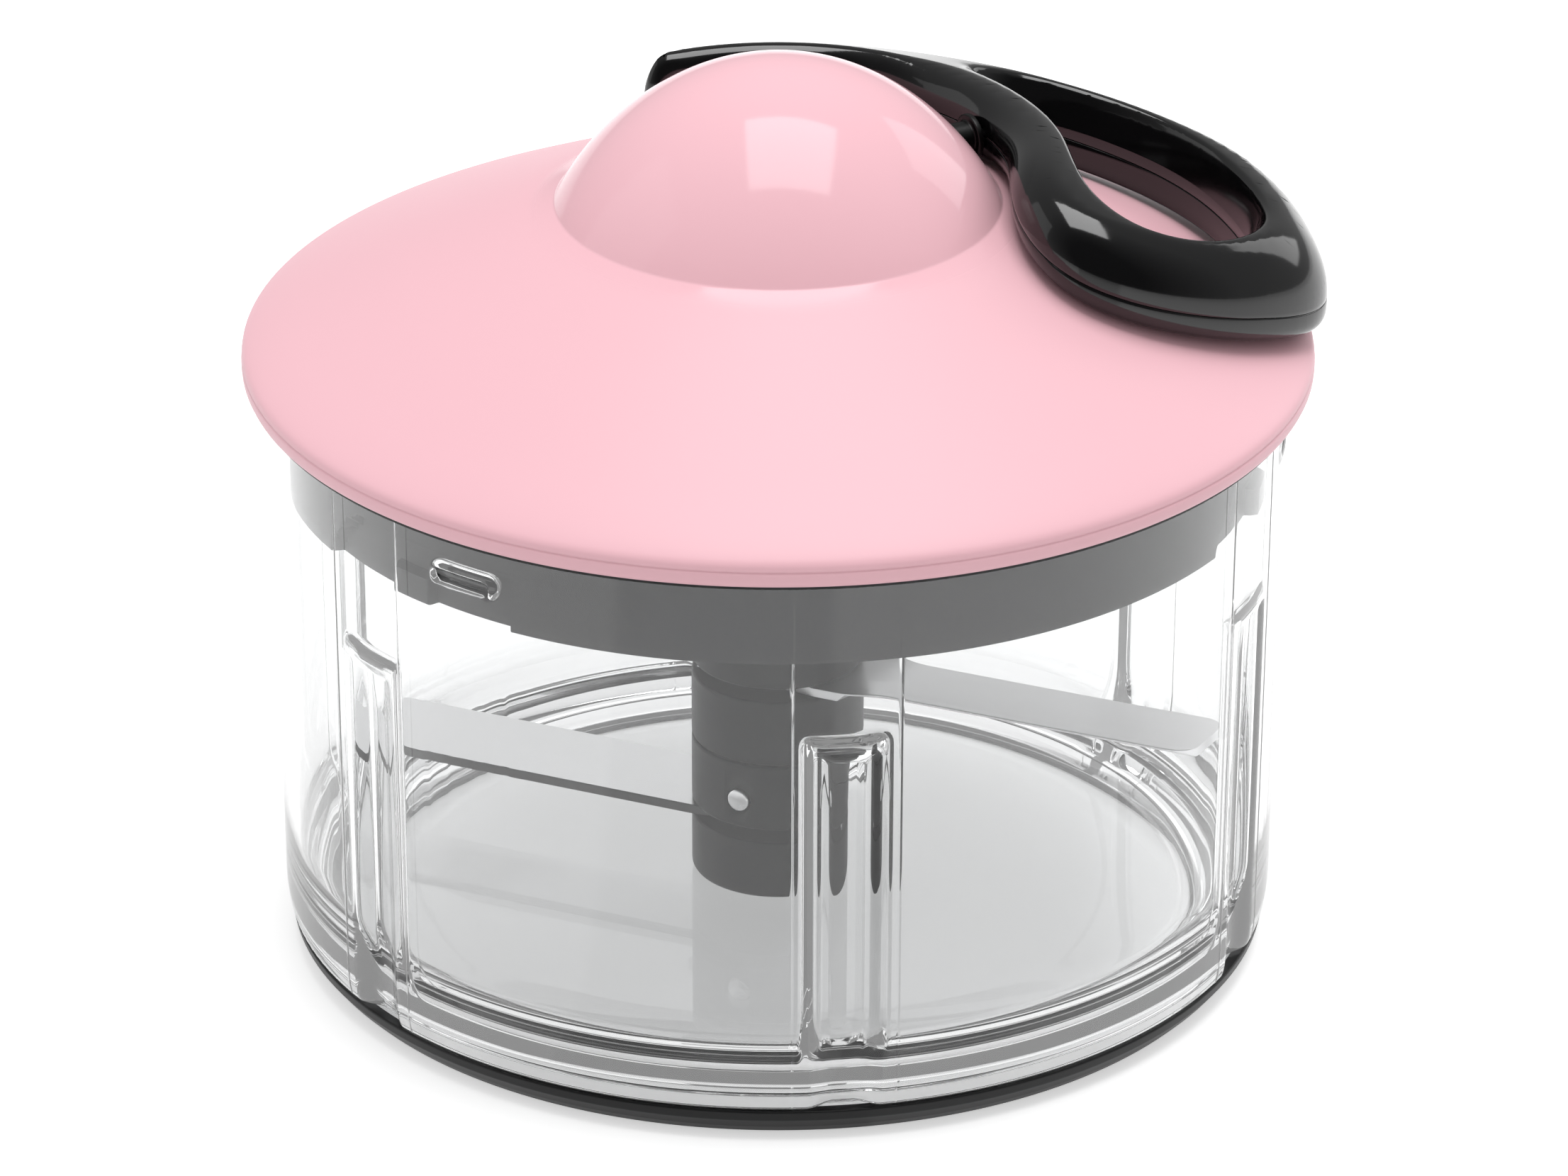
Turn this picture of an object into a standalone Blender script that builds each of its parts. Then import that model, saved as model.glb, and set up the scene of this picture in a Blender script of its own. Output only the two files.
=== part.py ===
"""Pull cord food chopper with a clear bowl, a domed lid and a loop handle.

The bowl stands on a non slip ring. A blade unit turns on a pin in its floor. The lid
holds a sprung cord reel, which drives the blade unit through two pawls and a hub when
the handle is pulled away. The origin is the middle of the base's underside, +Z is up
and the front of the chopper faces -Y. Sizes are in millimetres.
"""
import math

import bmesh
import bpy
from mathutils import Matrix, Vector

MM = 0.001

# Clearances
GAP = 0.3
RUNNING_GAP = 0.5
MERGE = 0.00001

# Roundness
STEPS = 48
MEDIUM_STEPS = 32
SMALL_STEPS = 16

# Non slip base
BASE_HEIGHT = 3.9
BASE_FOOT_RADIUS = 58.9
BASE_RING_WIDTH = 2.9
BASE_EDGE = 1.2
BASE_SOLE = 0.9
BASE_WALL = 1.6

# Bowl
BOWL_RIM_RADIUS = 62.9
BOWL_LOW_RADIUS = 62.0
BOWL_FOOT_RADIUS = 61.5
BOWL_HEIGHT = 72.7
BOWL_WALL = 1.9
FLOOR_RISE = 2.4
FLOOR_THICKNESS = 1.6
FOOT_WIDTH = 3.5
FLOOR_FILLET = 9.5
RIM_ROUND = 0.6
RIB_COUNT = 6
RIB_AZIMUTH = -82.4
RIB_WIDTH = 11.4
GROOVE_WIDTH = 8.2
RIB_SLOPE = 0.9
GROOVE_DEPTH = 1.6
RIB_DEPTH = 1.5
RIB_TOP = 54.5
LUG_COUNT = 3
LUG_AZIMUTH = -127.0
LUG_ARC = 9.7
LUG_HEIGHT = 3.2
LUG_REACH = 1.4
LUG_MIDDLE = 69.1
BOSS_RADIUS = 3.4
BOSS_HEIGHT = 3.9
PIVOT_RADIUS = 2.0
PIVOT_LENGTH = 24.0
PIVOT_DEPTH = 3.6

# Blade unit
SHAFT_RADIUS = 10.8
CORE_FLATS = 8.0
BLADE_THICKNESS = 1.2
BLADE_TIP_GAP = 1.4
BLADE_WIDTH = 13.2
BLADE_OFFSET = -0.4
BLADE_CORNER = 3.0
BLADE_GRIND = 2.2
BLADE_AZIMUTH = -23.4
FOOT_COLLAR_LENGTH = 7.7
LOWER_COLLAR_LENGTH = 8.75
MIDDLE_COLLAR_LENGTH = 8.75
UPPER_COLLAR_LENGTH = 22.5
COLLAR_EDGE = 0.4
NECK_LENGTH = 2.0
NECK_RADIUS = 8.0
HEAD_FLATS = 12.0
HEAD_LENGTH = 10.0
CROSS_PIN_RADIUS = 1.5
CROSS_PIN_RISE = 3.6
CROSS_PIN_AZIMUTH = -117.8

# Lid
LID_OVERHANG = 3.1
LIP_DRAFT = 0.5
LIP_DROP = 1.4
SHELL_WALL = 1.8
DOME_RADIUS = 27.4
DOME_FOOT_RISE = 20.1
DOME_HEIGHT = 17.7
DOME_CURVE = 41.9
EQUATOR_RISE = 1.2
SHOULDER_WIDTH = 5.5
SHOULDER_BULGE = 0.5
PLATE_THICKNESS = 1.8
SKIRT_DEPTH = 13.5
SKIRT_WALL = 3.0
SLOT_DEPTH = 1.3
SKIRT_CLEARANCE = 0.45
SLOT_ROOF_RISE = 7.4
LEDGE_HEIGHT = 3.6
ENTRY_ARC = 11.1
CHANNEL_ARC = 5.6
LUG_CLEARANCE_ARC = 0.95
SCREW_COUNT = 3
SCREW_INSET = 24.0
SCREW_AZIMUTH = 90.0
SCREW_RADIUS = 1.4
SCREW_HEAD_RADIUS = 3.0
SCREW_HEAD_HEIGHT = 1.6
SCREW_LENGTH = 8.6
SCREW_BOSS_RADIUS = 3.8
AXLE_RADIUS = 2.0
AXLE_GRIP = 6.0
AXLE_BOSS_RADIUS = 5.0

# Cord reel
CORD_RADIUS = 0.9
CORD_RISE = 2.8
CORD_AZIMUTH = 30.0
CORD_BEND = 1.8
SPOOL_CORE_RADIUS = 9.5
SPOOL_FLANGE_RADIUS = 20.0
SPOOL_FLANGE = 1.1
GROOVE_HEIGHT = 3.8
WINDING_RADIUS = 15.5
ARBOR_RADIUS = 6.5
CUP_RADIUS = 27.0
CUP_WALL = 1.8
CUP_FLOOR = 1.2
CUP_HEIGHT = 9.4
SPRING_BAND = 6.6
SPRING_THICKNESS = 0.5
SPRING_TURNS = 5
SPRING_REACH = 20.0
RATCHET_RADIUS = 20.5
RATCHET_DISC = 1.5
RATCHET_TEETH = 12
TOOTH_ROOT_RADIUS = 18.2
TOOTH_TIP_RADIUS = 16.2
EYELET_BORE = 1.3
EYELET_RADIUS = 2.1
EYELET_FLANGE_RADIUS = 2.9
EYELET_FLANGE = 0.8
EYELET_LENGTH = 4.6

# Drive hub and pawls
HUB_DISC_RADIUS = 13.5
HUB_DISC = 1.1
HUB_JOURNAL_RADIUS = 11.3
HUB_BODY_RADIUS = 10.4
HUB_DEPTH = 14.7
SOCKET_DEPTH = 9.5
BUSHING_WALL = 1.1
CLIP_THICKNESS = 0.9
CLIP_WIDTH = 2.7
PAWL_PIVOT_RADIUS = 9.5
PAWL_POST_RADIUS = 1.3
PAWL_EYE_RADIUS = 2.7
PAWL_THICKNESS = 2.0
PAWL_TIP_RADIUS = 16.9
PAWL_TIP_ARC = -29.0
PAWL_START = 4.0

# Handle
ARM_GAP = 1.0
GRIP_OVERHANG = 1.7
HANDLE_REST = 0.4
HANDLE_LIFT = 0.9
HANDLE_HEIGHT_LOW = 9.2
HANDLE_HEIGHT_HIGH = 11.3
HANDLE_ROUND = 3.1
DRAPE_PITCH = 11.0
PART_LINE_SHARE = 0.36
KNOT_RADIUS = 2.1
KNOT_INSET = 3.4

# Heights and radii that follow from the sizes above
LID_RADIUS = BOWL_RIM_RADIUS + LID_OVERHANG
LIP_RADIUS = LID_RADIUS - LIP_DRAFT
SHOULDER_RADIUS = LID_RADIUS - SHOULDER_WIDTH
SCREW_CIRCLE = LID_RADIUS - SCREW_INSET
BLADE_REACH = BOWL_LOW_RADIUS - BOWL_WALL - RIB_DEPTH - BLADE_TIP_GAP
BOWL_BOTTOM_Z = BASE_HEIGHT + GAP
FLOOR_Z = BOWL_BOTTOM_Z + FLOOR_RISE
RIM_Z = BOWL_BOTTOM_Z + BOWL_HEIGHT
PLATE_Z = RIM_Z + GAP
PLATE_TOP_Z = PLATE_Z + PLATE_THICKNESS
SKIRT_Z = PLATE_Z - SKIRT_DEPTH
LIP_Z = PLATE_Z - LIP_DROP
EQUATOR_Z = PLATE_Z + EQUATOR_RISE
DOME_FOOT_Z = RIM_Z + DOME_FOOT_RISE
DOME_TOP_Z = DOME_FOOT_Z + DOME_HEIGHT
BOWL_TAPER = (BOWL_RIM_RADIUS - BOWL_LOW_RADIUS) / BOWL_HEIGHT
BOWL_INNER_RADIUS = BOWL_RIM_RADIUS - BOWL_WALL - max(0, BOWL_TAPER * SKIRT_DEPTH)
SKIRT_RADIUS = BOWL_INNER_RADIUS - SKIRT_CLEARANCE
SLOT_FLOOR_RADIUS = SKIRT_RADIUS - SLOT_DEPTH
SLOT_ROOF_Z = SKIRT_Z + SLOT_ROOF_RISE
ENTRY_START = LUG_AZIMUTH - LUG_ARC / 2 - CHANNEL_ARC - LUG_CLEARANCE_ARC - ENTRY_ARC
ENTRY_END = ENTRY_START + ENTRY_ARC
CORD_Z = DOME_FOOT_Z + CORD_RISE
SPOOL_FLANGE_Z = CORD_Z - GROOVE_HEIGHT / 2 - SPOOL_FLANGE
SPOOL_TOP_Z = CORD_Z + GROOVE_HEIGHT / 2 + SPOOL_FLANGE
HUB_DISC_Z = PLATE_TOP_Z + GAP
HUB_TOP_Z = HUB_DISC_Z + HUB_DISC
PAWL_Z = HUB_TOP_Z + GAP
RATCHET_DISC_Z = PAWL_Z + PAWL_THICKNESS + GAP
CUP_Z = RATCHET_DISC_Z + RATCHET_DISC + GAP
CUP_FLOOR_Z = CUP_Z + CUP_FLOOR
SPRING_Z = CUP_FLOOR_Z + RUNNING_GAP
LOWER_BLADE_Z = FLOOR_Z + GAP + FOOT_COLLAR_LENGTH + GAP
LOWER_COLLAR_Z = LOWER_BLADE_Z + BLADE_THICKNESS + GAP
MIDDLE_COLLAR_Z = LOWER_COLLAR_Z + LOWER_COLLAR_LENGTH + GAP
UPPER_BLADE_Z = MIDDLE_COLLAR_Z + MIDDLE_COLLAR_LENGTH + GAP
UPPER_COLLAR_Z = UPPER_BLADE_Z + BLADE_THICKNESS + GAP
PIVOT_Z = FLOOR_Z + BOSS_HEIGHT - PIVOT_DEPTH
ARM_RADIUS = DOME_RADIUS + ARM_GAP
GRIP_RADIUS = LID_RADIUS + GRIP_OVERHANG

# Outlines of the handle seen from above, as azimuth in degrees and share of the way
# from the arm's inner radius to the grip's outer radius
HANDLE_OUTLINE = (
    (116.0, 0.165), (104.0, 0.165), (92.0, 0.170), (80.0, 0.200), (62.5, 0.350),
    (52.1, 0.565), (42.5, 0.695), (33.2, 0.812), (23.7, 0.926), (14.2, 0.988),
    (5.9, 0.996), (0.4, 1.0), (-4.8, 0.963), (-10.6, 0.869), (-17.3, 0.730),
    (-24.4, 0.549), (-29.4, 0.344), (-27.3, 0.155), (-14.9, 0.02),
    (4.0, 0.0), (20.0, 0.0), (35.0, 0.0), (50.0, 0.0), (65.0, 0.0), (80.0, 0.0),
    (95.0, 0.0), (110.0, 0.004), (118.0, 0.015), (123.0, 0.085),
)
HANDLE_OPENING = (
    (50.3, 0.298), (46.4, 0.420), (38.4, 0.530), (31.4, 0.613), (25.3, 0.673),
    (17.9, 0.721), (9.7, 0.755), (2.9, 0.774), (-2.6, 0.754), (-8.6, 0.690),
    (-13.3, 0.594), (-16.3, 0.478), (-15.3, 0.359), (-9.7, 0.263), (0.0, 0.214),
    (12.7, 0.206), (26.1, 0.201), (39.0, 0.207), (48.2, 0.232),
)

PARTS = "Food chopper"
CUTTERS = "Cutters"


# Scene set up

def start_scene():
    for obj in list(bpy.data.objects):
        bpy.data.objects.remove(obj)
    for name in (PARTS, CUTTERS):
        collection = bpy.data.collections.get(name) or bpy.data.collections.new(name)
        if name not in bpy.context.scene.collection.children:
            bpy.context.scene.collection.children.link(collection)


def material(name, colour, roughness, metallic=0.0, alpha=1.0):
    mat = bpy.data.materials.get(name) or bpy.data.materials.new(name)
    mat.use_nodes = True
    shader = mat.node_tree.nodes["Principled BSDF"]
    shader.inputs["Base Color"].default_value = (*colour, 1.0)
    shader.inputs["Roughness"].default_value = roughness
    shader.inputs["Metallic"].default_value = metallic
    shader.inputs["Alpha"].default_value = alpha
    return mat


def as_part(obj, mat):
    bpy.data.collections[PARTS].objects.link(obj)
    obj.data.materials.append(mat)
    return obj


def as_cutter(obj):
    bpy.data.collections[CUTTERS].objects.link(obj)
    obj.hide_render = True
    obj.display_type = "WIRE"
    return obj


def joint_empty(name, place, parent=None):
    empty = bpy.data.objects.new(name, None)
    empty.empty_display_size = 10 * MM
    bpy.data.collections[PARTS].objects.link(empty)
    empty.location = Vector(place) * MM
    if parent:
        empty.parent = parent
    bpy.context.view_layer.update()
    return empty


def ride(parent, *objs):
    for obj in objs:
        obj.parent = parent
        obj.matrix_parent_inverse = parent.matrix_world.inverted()


# Shapes

def polar(radius, azimuth, z=0.0):
    angle = math.radians(azimuth)
    return Vector((radius * math.cos(angle), radius * math.sin(angle), z))


def new_object(name, bm):
    mesh = bpy.data.meshes.new(name)
    bmesh.ops.recalc_face_normals(bm, faces=bm.faces)
    bm.to_mesh(mesh)
    bm.free()
    mesh.shade_smooth()
    mesh.set_sharp_from_angle(angle=math.radians(32))
    return bpy.data.objects.new(name, mesh)


def turned(name, profile, steps=STEPS):
    """A turned solid from a profile of radius and height, outer side first, top down."""
    turn = sum(
        a[0] * b[1] - b[0] * a[1]
        for a, b in zip(profile, profile[1:] + profile[:1])
    )
    if turn > 0:
        profile = profile[::-1]
    closed = profile[0][0] > 0 or profile[-1][0] > 0
    bm = bmesh.new()
    verts = [bm.verts.new((r * MM, 0, z * MM)) for r, z in profile]
    for a, b in zip(verts, verts[1:]):
        bm.edges.new((a, b))
    if closed:
        bm.edges.new((verts[-1], verts[0]))
    mesh = bpy.data.meshes.new(name)
    bm.to_mesh(mesh)
    bm.free()
    obj = bpy.data.objects.new(name, mesh)
    screw = obj.modifiers.new("Turn", "SCREW")
    screw.steps = steps
    screw.render_steps = steps
    screw.use_merge_vertices = True
    screw.merge_threshold = MERGE
    screw.use_smooth_shade = True
    return obj


def cylinder(name, radius, z0, z1, place=(0, 0), steps=SMALL_STEPS):
    bm = bmesh.new()
    bmesh.ops.create_cone(
        bm, cap_ends=True, segments=steps, radius1=radius * MM, radius2=radius * MM,
        depth=(z1 - z0) * MM,
        matrix=Matrix.Translation(Vector((place[0], place[1], (z0 + z1) / 2)) * MM),
    )
    return new_object(name, bm)


def prism(name, flats, z0, z1, sides=6):
    """A bar with a regular outline, of the given size across its flats."""
    radius = flats / 2 / math.cos(math.pi / sides)
    bm = bmesh.new()
    bmesh.ops.create_cone(
        bm, cap_ends=True, segments=sides, radius1=radius * MM, radius2=radius * MM,
        depth=(z1 - z0) * MM,
        matrix=Matrix.Translation(Vector((0, 0, (z0 + z1) / 2)) * MM),
    )
    return new_object(name, bm)


def side_rod(name, radius, start, end, azimuth, z, steps=SMALL_STEPS):
    """A round bar that lies level along an azimuth, from one radius to another."""
    bm = bmesh.new()
    along = Matrix.Rotation(math.radians(azimuth), 4, "Z")
    place = Matrix.Translation(Vector(((start + end) / 2, 0, z)) * MM)
    lie = Matrix.Rotation(math.radians(90), 4, "Y")
    bmesh.ops.create_cone(
        bm, cap_ends=True, segments=steps, radius1=radius * MM, radius2=radius * MM,
        depth=(end - start) * MM, matrix=along @ place @ lie,
    )
    return new_object(name, bm)


def sector(name, r0, r1, z0, z1, start, end):
    """A block bent round the axis, between two azimuths."""
    bm = bmesh.new()
    corners = ((r0, z0), (r1, z0), (r1, z1), (r0, z1))
    verts = [bm.verts.new(polar(r, start, z) * MM) for r, z in corners]
    face = bm.faces.new(verts)
    bmesh.ops.spin(
        bm, geom=[face, *face.edges, *verts], axis=(0, 0, 1), cent=(0, 0, 0),
        angle=math.radians(end - start), steps=max(3, round((end - start) / 3)),
    )
    return new_object(name, bm)


def flat_outline(name, loops, z0, z1, bevel=0.0, rows=2):
    """A flat plate from closed loops of points, the outer one first, as a mesh."""
    curve = bpy.data.curves.new(name, "CURVE")
    curve.dimensions = "2D"
    curve.fill_mode = "BOTH"
    curve.extrude = ((z1 - z0) / 2 - bevel) * MM
    curve.bevel_depth = bevel * MM
    curve.bevel_resolution = rows
    curve.offset = -bevel * MM
    for points, smooth in loops:
        spline = curve.splines.new("BEZIER" if smooth else "POLY")
        if smooth:
            spline.bezier_points.add(len(points) - 1)
            spline.resolution_u = smooth
            count = len(points)
            for i, knot in enumerate(spline.bezier_points):
                lean = (points[(i + 1) % count] - points[i - 1]) / 6
                knot.co = points[i] * MM
                knot.handle_left = (points[i] - lean) * MM
                knot.handle_right = (points[i] + lean) * MM
        else:
            spline.points.add(len(points) - 1)
            for knot, point in zip(spline.points, points):
                knot.co = (point.x * MM, point.y * MM, 0, 1)
        spline.use_cyclic_u = True
    source = bpy.data.objects.new(name, curve)
    source.location.z = (z0 + z1) / 2 * MM
    bpy.context.scene.collection.objects.link(source)
    bpy.context.view_layer.update()
    mesh = bpy.data.meshes.new_from_object(
        source.evaluated_get(bpy.context.evaluated_depsgraph_get())
    )
    bm = bmesh.new()
    bm.from_mesh(mesh)
    bmesh.ops.transform(bm, matrix=source.matrix_world, verts=bm.verts)
    bmesh.ops.remove_doubles(bm, verts=bm.verts, dist=MERGE)
    bpy.data.objects.remove(source)
    bpy.data.meshes.remove(mesh)
    return new_object(name, bm)


def boolean(obj, other, operation):
    step = obj.modifiers.new(operation.title(), "BOOLEAN")
    step.operation = operation
    step.object = other
    return obj


def cut(obj, *others):
    for other in others:
        boolean(obj, as_cutter(other), "DIFFERENCE")
    return obj


def join(obj, *others):
    for other in others:
        boolean(obj, as_cutter(other), "UNION")
    return obj


# Base and bowl

def bowl_radius(z):
    share = (z - BOWL_BOTTOM_Z) / BOWL_HEIGHT
    return BOWL_LOW_RADIUS + share * (BOWL_RIM_RADIUS - BOWL_LOW_RADIUS)


def build_base(mat):
    inner = BASE_FOOT_RADIUS - BASE_RING_WIDTH
    wall = BOWL_FOOT_RADIUS - BASE_WALL
    profile = [
        (wall, BASE_HEIGHT),
        (BOWL_FOOT_RADIUS, BASE_HEIGHT),
        (BASE_FOOT_RADIUS + BASE_EDGE, BASE_EDGE),
        (BASE_FOOT_RADIUS, 0.0),
        (inner, 0.0),
        (inner, BASE_SOLE),
        (wall, BASE_SOLE),
    ]
    return [as_part(turned("non_slip_base", profile), mat)]


def build_bowl(mat):
    low = bowl_radius(FLOOR_Z + FLOOR_FILLET) - BOWL_WALL
    foot = BOWL_FOOT_RADIUS - BASE_WALL - GAP
    profile = [
        (BOWL_RIM_RADIUS - RIM_ROUND, RIM_Z),
        (BOWL_RIM_RADIUS, RIM_Z - RIM_ROUND),
        (bowl_radius(FLOOR_Z + FLOOR_FILLET), FLOOR_Z + FLOOR_FILLET),
        (BOWL_LOW_RADIUS, FLOOR_Z),
        (BOWL_FOOT_RADIUS, BOWL_BOTTOM_Z),
        (foot, BOWL_BOTTOM_Z),
        (foot, BASE_SOLE + GAP),
        (foot - FOOT_WIDTH, BASE_SOLE + GAP),
        (foot - FOOT_WIDTH, FLOOR_Z - FLOOR_THICKNESS),
        (0.0, FLOOR_Z - FLOOR_THICKNESS),
        (0.0, PIVOT_Z - GAP),
        (PIVOT_RADIUS + GAP, PIVOT_Z - GAP),
        (PIVOT_RADIUS + GAP, FLOOR_Z + BOSS_HEIGHT),
        (BOSS_RADIUS, FLOOR_Z + BOSS_HEIGHT),
        (BOSS_RADIUS, FLOOR_Z),
    ]
    rows = 3
    for i in range(rows + 1):
        angle = math.pi / 2 * i / rows
        profile.append((
            low - FLOOR_FILLET * (1 - math.sin(angle)),
            FLOOR_Z + FLOOR_FILLET * (1 - math.cos(angle)),
        ))
    profile.append((BOWL_RIM_RADIUS - BOWL_WALL, RIM_Z - RIM_ROUND))
    profile.append((BOWL_RIM_RADIUS - BOWL_WALL + RIM_ROUND, RIM_Z))
    bowl = turned("bowl", profile)
    for i in range(RIB_COUNT):
        join(bowl, rib_block(i))
    for i in range(RIB_COUNT):
        cut(bowl, groove_block(i))
    for i in range(LUG_COUNT):
        join(bowl, lug_block(i))
    return [as_part(bowl, mat)]


def rib_matrix(i):
    azimuth = RIB_AZIMUTH + i * 360 / RIB_COUNT
    return Matrix.Rotation(math.radians(azimuth), 4, "Z")


def wall_block(name, i, low_radii, high_radii, width, z0, z1, slope, slope_side):
    """A block on the bowl's wall that follows its taper, with one side drawn in."""
    bm = bmesh.new()
    bmesh.ops.create_cube(bm, size=1.0)
    for vert in bm.verts:
        outer = vert.co.x > 0
        upper = vert.co.z > 0
        radii = high_radii if upper else low_radii
        drawn = outer == slope_side
        half = width / 2 - (slope if drawn else 0.0)
        height = z1 - (slope if drawn else 0.0) if upper else z0
        side = half if vert.co.y > 0 else -half
        vert.co = Vector((radii[1] if outer else radii[0], side, height)) * MM
    bmesh.ops.transform(bm, matrix=rib_matrix(i), verts=bm.verts)
    return new_object(name, bm)


def rib_block(i):
    z0 = FLOOR_Z + FLOOR_FILLET / 3
    z1 = RIB_TOP
    low = bowl_radius(z0) - BOWL_WALL
    high = bowl_radius(z1) - BOWL_WALL
    bend = high - math.sqrt(high ** 2 - (RIB_WIDTH / 2) ** 2)
    reach = RIB_DEPTH + bend
    return wall_block(
        f"rib_{i + 1}", i, (low - reach, low + BOWL_WALL / 3),
        (high - reach, high + BOWL_WALL / 3),
        RIB_WIDTH + RIB_SLOPE, z0, z1 + RIB_SLOPE, RIB_SLOPE, False,
    )


def groove_block(i):
    z0 = BOWL_BOTTOM_Z - 1.0
    z1 = RIB_TOP - (RIB_WIDTH - GROOVE_WIDTH) / 2
    low = bowl_radius(z0)
    high = bowl_radius(z1)
    return wall_block(
        f"groove_{i + 1}", i, (low - GROOVE_DEPTH, low + GROOVE_DEPTH),
        (high - GROOVE_DEPTH, high + GROOVE_DEPTH),
        GROOVE_WIDTH, z0, z1, RIB_SLOPE, False,
    )


def lug_block(i):
    azimuth = LUG_AZIMUTH + i * 360 / LUG_COUNT
    inner = BOWL_INNER_RADIUS - LUG_REACH
    lug = sector(
        f"lug_{i + 1}", inner, BOWL_INNER_RADIUS + BOWL_WALL / 3,
        LUG_MIDDLE - LUG_HEIGHT / 2, LUG_MIDDLE + LUG_HEIGHT / 2,
        azimuth - LUG_ARC / 2, azimuth + LUG_ARC / 2,
    )
    return lug


def build_pivot(mat):
    pin = cylinder("bowl_pivot_pin", PIVOT_RADIUS, PIVOT_Z, PIVOT_Z + PIVOT_LENGTH)
    return [as_part(pin, mat)]


# Blade unit

def collar_profile(z0, z1, bore):
    edge = COLLAR_EDGE
    return [
        (SHAFT_RADIUS - edge, z1), (SHAFT_RADIUS, z1 - edge),
        (SHAFT_RADIUS, z0 + edge), (SHAFT_RADIUS - edge, z0), (bore, z0), (bore, z1),
    ]


def core_radius():
    return CORE_FLATS / 2 / math.cos(math.pi / 6)


def build_blade_unit(plastic, steel, axis):
    bore = core_radius() + GAP
    foot_z = FLOOR_Z + GAP
    foot = collar_profile(foot_z, foot_z + FOOT_COLLAR_LENGTH, bore)
    collars = [
        turned("foot_collar", foot, MEDIUM_STEPS),
        turned("lower_collar", collar_profile(
            LOWER_COLLAR_Z, LOWER_COLLAR_Z + LOWER_COLLAR_LENGTH, bore), MEDIUM_STEPS),
        turned("middle_collar", collar_profile(
            MIDDLE_COLLAR_Z, MIDDLE_COLLAR_Z + MIDDLE_COLLAR_LENGTH, bore), MEDIUM_STEPS),
        build_shaft_top(bore),
    ]
    pin_z = LOWER_COLLAR_Z + CROSS_PIN_RISE
    cross = ("pin_hole", CROSS_PIN_RADIUS + GAP, -SHAFT_RADIUS - 1, SHAFT_RADIUS + 1)
    cut(collars[1], side_rod(*cross, CROSS_PIN_AZIMUTH, pin_z))
    cut(collars[0], cylinder(
        "boss_room", BOSS_RADIUS + RUNNING_GAP + GAP, foot_z - 1,
        FLOOR_Z + BOSS_HEIGHT + GAP))
    core_z = FLOOR_Z + BOSS_HEIGHT + 2 * GAP
    core = prism("blade_core", CORE_FLATS, core_z, UPPER_COLLAR_Z + UPPER_COLLAR_LENGTH / 2)
    core.data.transform(Matrix.Rotation(math.radians(BLADE_AZIMUTH), 4, "Z"))
    bore_end = PIVOT_Z + PIVOT_LENGTH + GAP
    cut(core, cylinder("pivot_bore", PIVOT_RADIUS + GAP, core_z - 1, bore_end))
    pin_half = SHAFT_RADIUS - GAP
    gap_pin = PIVOT_RADIUS + 2 * GAP
    pin = side_rod(
        "collar_pin", CROSS_PIN_RADIUS, gap_pin, pin_half, CROSS_PIN_AZIMUTH, pin_z)
    cut(core, side_rod(
        "core_pin_hole", CROSS_PIN_RADIUS + GAP, gap_pin - GAP, SHAFT_RADIUS,
        CROSS_PIN_AZIMUTH, pin_z))
    blades = [
        blade("lower_blade", LOWER_BLADE_Z, BLADE_AZIMUTH + 180, -1),
        blade("upper_blade", UPPER_BLADE_Z, BLADE_AZIMUTH, 1),
    ]
    made = [as_part(obj, plastic) for obj in collars]
    made += [as_part(obj, steel) for obj in (core, pin, *blades)]
    ride(axis, *made)
    return made


def build_shaft_top(bore):
    z0 = UPPER_COLLAR_Z
    z1 = z0 + UPPER_COLLAR_LENGTH
    core_top = z0 + UPPER_COLLAR_LENGTH / 2
    profile = [
        (0.0, z1 + NECK_LENGTH), (NECK_RADIUS, z1 + NECK_LENGTH), (SHAFT_RADIUS, z1),
        (SHAFT_RADIUS, z0 + COLLAR_EDGE), (SHAFT_RADIUS - COLLAR_EDGE, z0),
        (bore, z0), (bore, core_top + GAP), (0.0, core_top + GAP),
    ]
    shaft = turned("shaft_top", profile, MEDIUM_STEPS)
    return join(shaft, prism("drive_head", HEAD_FLATS, z1, z1 + NECK_LENGTH + HEAD_LENGTH))


def blade(name, z, azimuth, side):
    """A flat strip from the shaft to the wall, rounded at its tip and ground below."""
    eye = SHAFT_RADIUS - 2.0
    near = BLADE_OFFSET * side - BLADE_WIDTH / 2
    far = BLADE_OFFSET * side + BLADE_WIDTH / 2
    points = []
    for step in range(13):
        angle = 50 + 260 * step / 12
        points.append(polar(eye, angle))
    points.append(Vector((eye, near, 0)))
    for centre_y, first in ((near + BLADE_CORNER, -90), (far - BLADE_CORNER, 0)):
        for step in range(5):
            corner = polar(BLADE_CORNER, first + 90 * step / 4)
            points.append(corner + Vector((BLADE_REACH - BLADE_CORNER, centre_y, 0)))
    points.append(Vector((eye, far, 0)))
    strip = flat_outline(name, [(points, 0)], z, z + BLADE_THICKNESS)
    cut(strip, prism(f"{name}_eye", CORE_FLATS + 2 * GAP, z - 1, z + BLADE_THICKNESS + 1))
    grind = bmesh.new()
    bmesh.ops.create_cube(grind, size=1.0)
    for vert in grind.verts:
        along = BLADE_REACH + 2 if vert.co.x > 0 else SHAFT_RADIUS + 1.5
        over = vert.co.y < 0
        lower = vert.co.z < 0
        if over:
            y = near - 1.0
        else:
            y = near + (BLADE_GRIND if lower else 0.0) - (0 if lower else 0.6)
        height = z - 1.0 if lower else z + BLADE_THICKNESS * 0.7
        if not over and lower:
            height = z - 0.01
        vert.co = Vector((along, y, height)) * MM
    cut(strip, new_object(f"{name}_grind", grind))
    turn = Matrix.Rotation(math.radians(azimuth), 4, "Z")
    for obj in [strip] + [step.object for step in strip.modifiers]:
        obj.data.transform(turn)
    return strip


# Lid

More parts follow.
